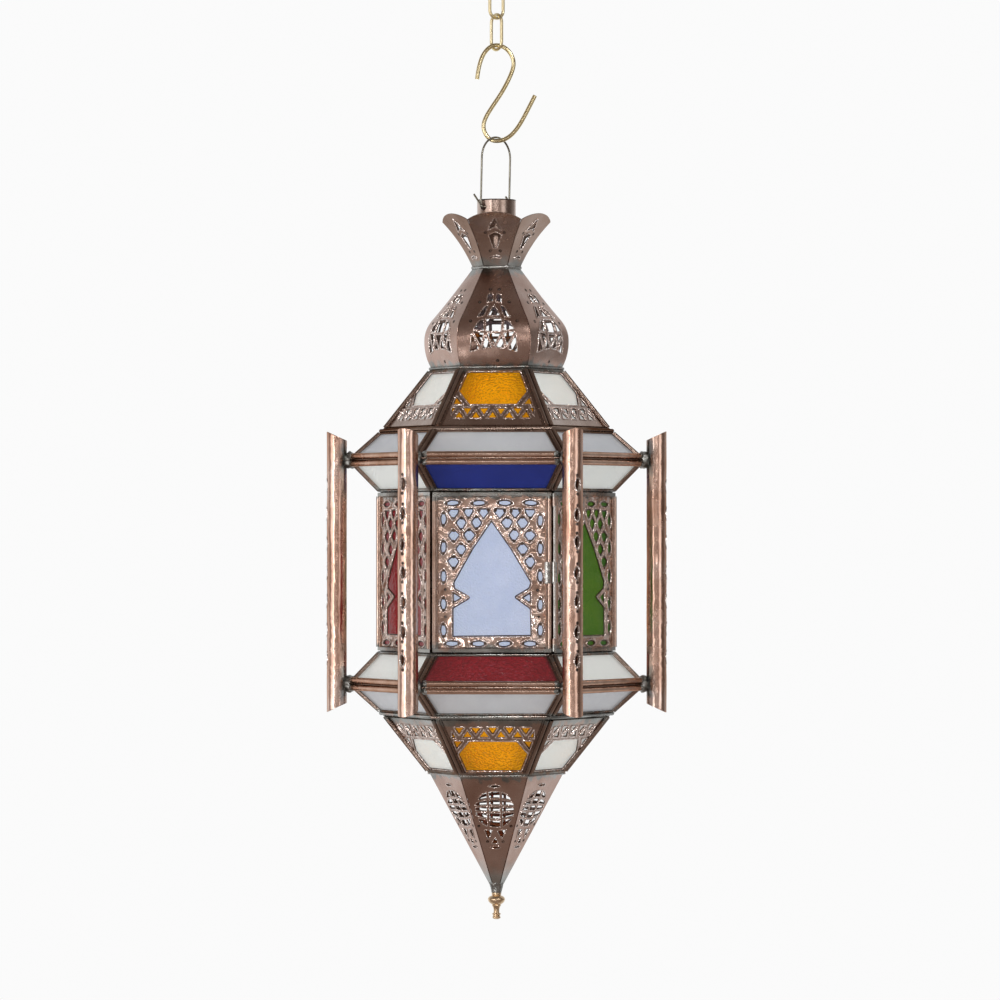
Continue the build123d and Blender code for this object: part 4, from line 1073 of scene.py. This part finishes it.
# what the metal reflects: the wall front to back, its shade from below to above, a dim patch on the right
roomLook = {"wall": [(0.0, (0.4, 0.345, 0.32)), (0.08, (0.38, 0.32, 0.29)), (0.24, (0.34, 0.255, 0.215)),
                     (0.54, (0.36, 0.3, 0.27)), (0.72, (1.04, 1.04, 1.04)), (1.0, (1.12, 1.13, 1.14))],
            "shade": [(0.0, 0.85), (0.22, 0.74), (0.5, 1.0), (0.78, 0.56), (1.0, 0.5)],
            "dim": 0.38, "dimAcross": (0.5, 0.78), "dimUp": (0.22, 0.42),
            "paper": (0.963, 0.963, 0.963, 1.0)}


def paperForCamera(tree, other, paper, output):
    seen = addNode(tree, "LightPath").outputs["Is Camera Ray"]
    mix = addNode(tree, "MixShader", {"Fac": seen, 1: other, 2: paper})
    tree.links.new(mix.outputs["Shader"], output.inputs["Surface"])


def studioWorld():
    look = roomLook
    world = bpy.data.worlds.new("studio")
    bpy.context.scene.world = world
    world.use_nodes = True
    tree = world.node_tree
    tree.nodes.clear()
    axes = axesOf(tree, addNode(tree, "TexCoord").outputs["Generated"])
    wall = rampNode(tree, rangeNode(tree, axes["Y"], 0.0, 1.0, -1.0, 1.0), look["wall"])
    rise = rangeNode(tree, axes["Z"], 0.0, 1.0, -1.0, 1.0)
    shade = rampNode(tree, rise, [(place, (tone,) * 3) for place, tone in look["shade"]])
    aside = rangeNode(tree, axes["X"], 1.0, look["dim"], *look["dimAcross"])
    away = rangeNode(tree, mathNode(tree, "ABSOLUTE", axes["Z"]), 0.0, 1.0, *look["dimUp"])
    colour = mixNode(tree, 1.0, wall, shade, "MULTIPLY")
    colour = mixNode(tree, 1.0, colour, mathNode(tree, "MAXIMUM", aside, away), "MULTIPLY")
    room = addNode(tree, "Background", {"Color": colour}).outputs["Background"]
    paper = addNode(tree, "Background", {"Color": look["paper"]}).outputs["Background"]
    paperForCamera(tree, room, paper, addNode(tree, "OutputWorld"))


studioWorld()

# place, size and watts
lightLook = {"stripLeft": ((-1.6, -2.55, -0.3), (0.24, 1.3), 8.0),
             "softLeft": ((-2.35, -1.9, -0.3), (1.9, 1.6), 13.0),
             "highRight": ((1.1, -2.3, 1.1), (0.4, 0.4), 16.0),
             "lowLeft": ((-0.8, -2.2, -1.3), (0.3, 0.3), 5.0),
             "frontStrip": ((0.0, -2.9, 0.05), (1.4, 0.1), 2.5),
             "softRight": ((2.1, -2.1, -0.3), (1.3, 1.3), 7.0)}
lightTarget = Vector((0, 0, -0.36))
for name, (spot, size, power) in lightLook.items():
    lamp = bpy.data.lights.new(name, "AREA")
    lamp.shape = "RECTANGLE"
    lamp.size, lamp.size_y = size
    lamp.energy = power
    aimAt(linked(name, lamp), spot, lightTarget)

floorLook = {"radius": 40.0, "height": -6.0, "segments": 64}


def floorSheet():
    look, bm = floorLook, bmesh.new()
    bmesh.ops.create_circle(bm, cap_ends=True, segments=look["segments"], radius=look["radius"])
    bmesh.ops.translate(bm, verts=bm.verts, vec=(0, 0, look["height"]))
    floor = linked("floor", meshFrom(bm, "floor"))
    mat, tree = startMaterial("paleFloor")
    clear = addNode(tree, "BsdfTransparent").outputs["BSDF"]
    paper = addNode(tree, "Emission", {"Color": roomLook["paper"]}).outputs["Emission"]
    paperForCamera(tree, clear, paper, tree.nodes["Material Output"])
    floor.data.materials.append(mat)


floorSheet()
bpy.context.scene.view_settings.view_transform = "Standard"
print("studio made")
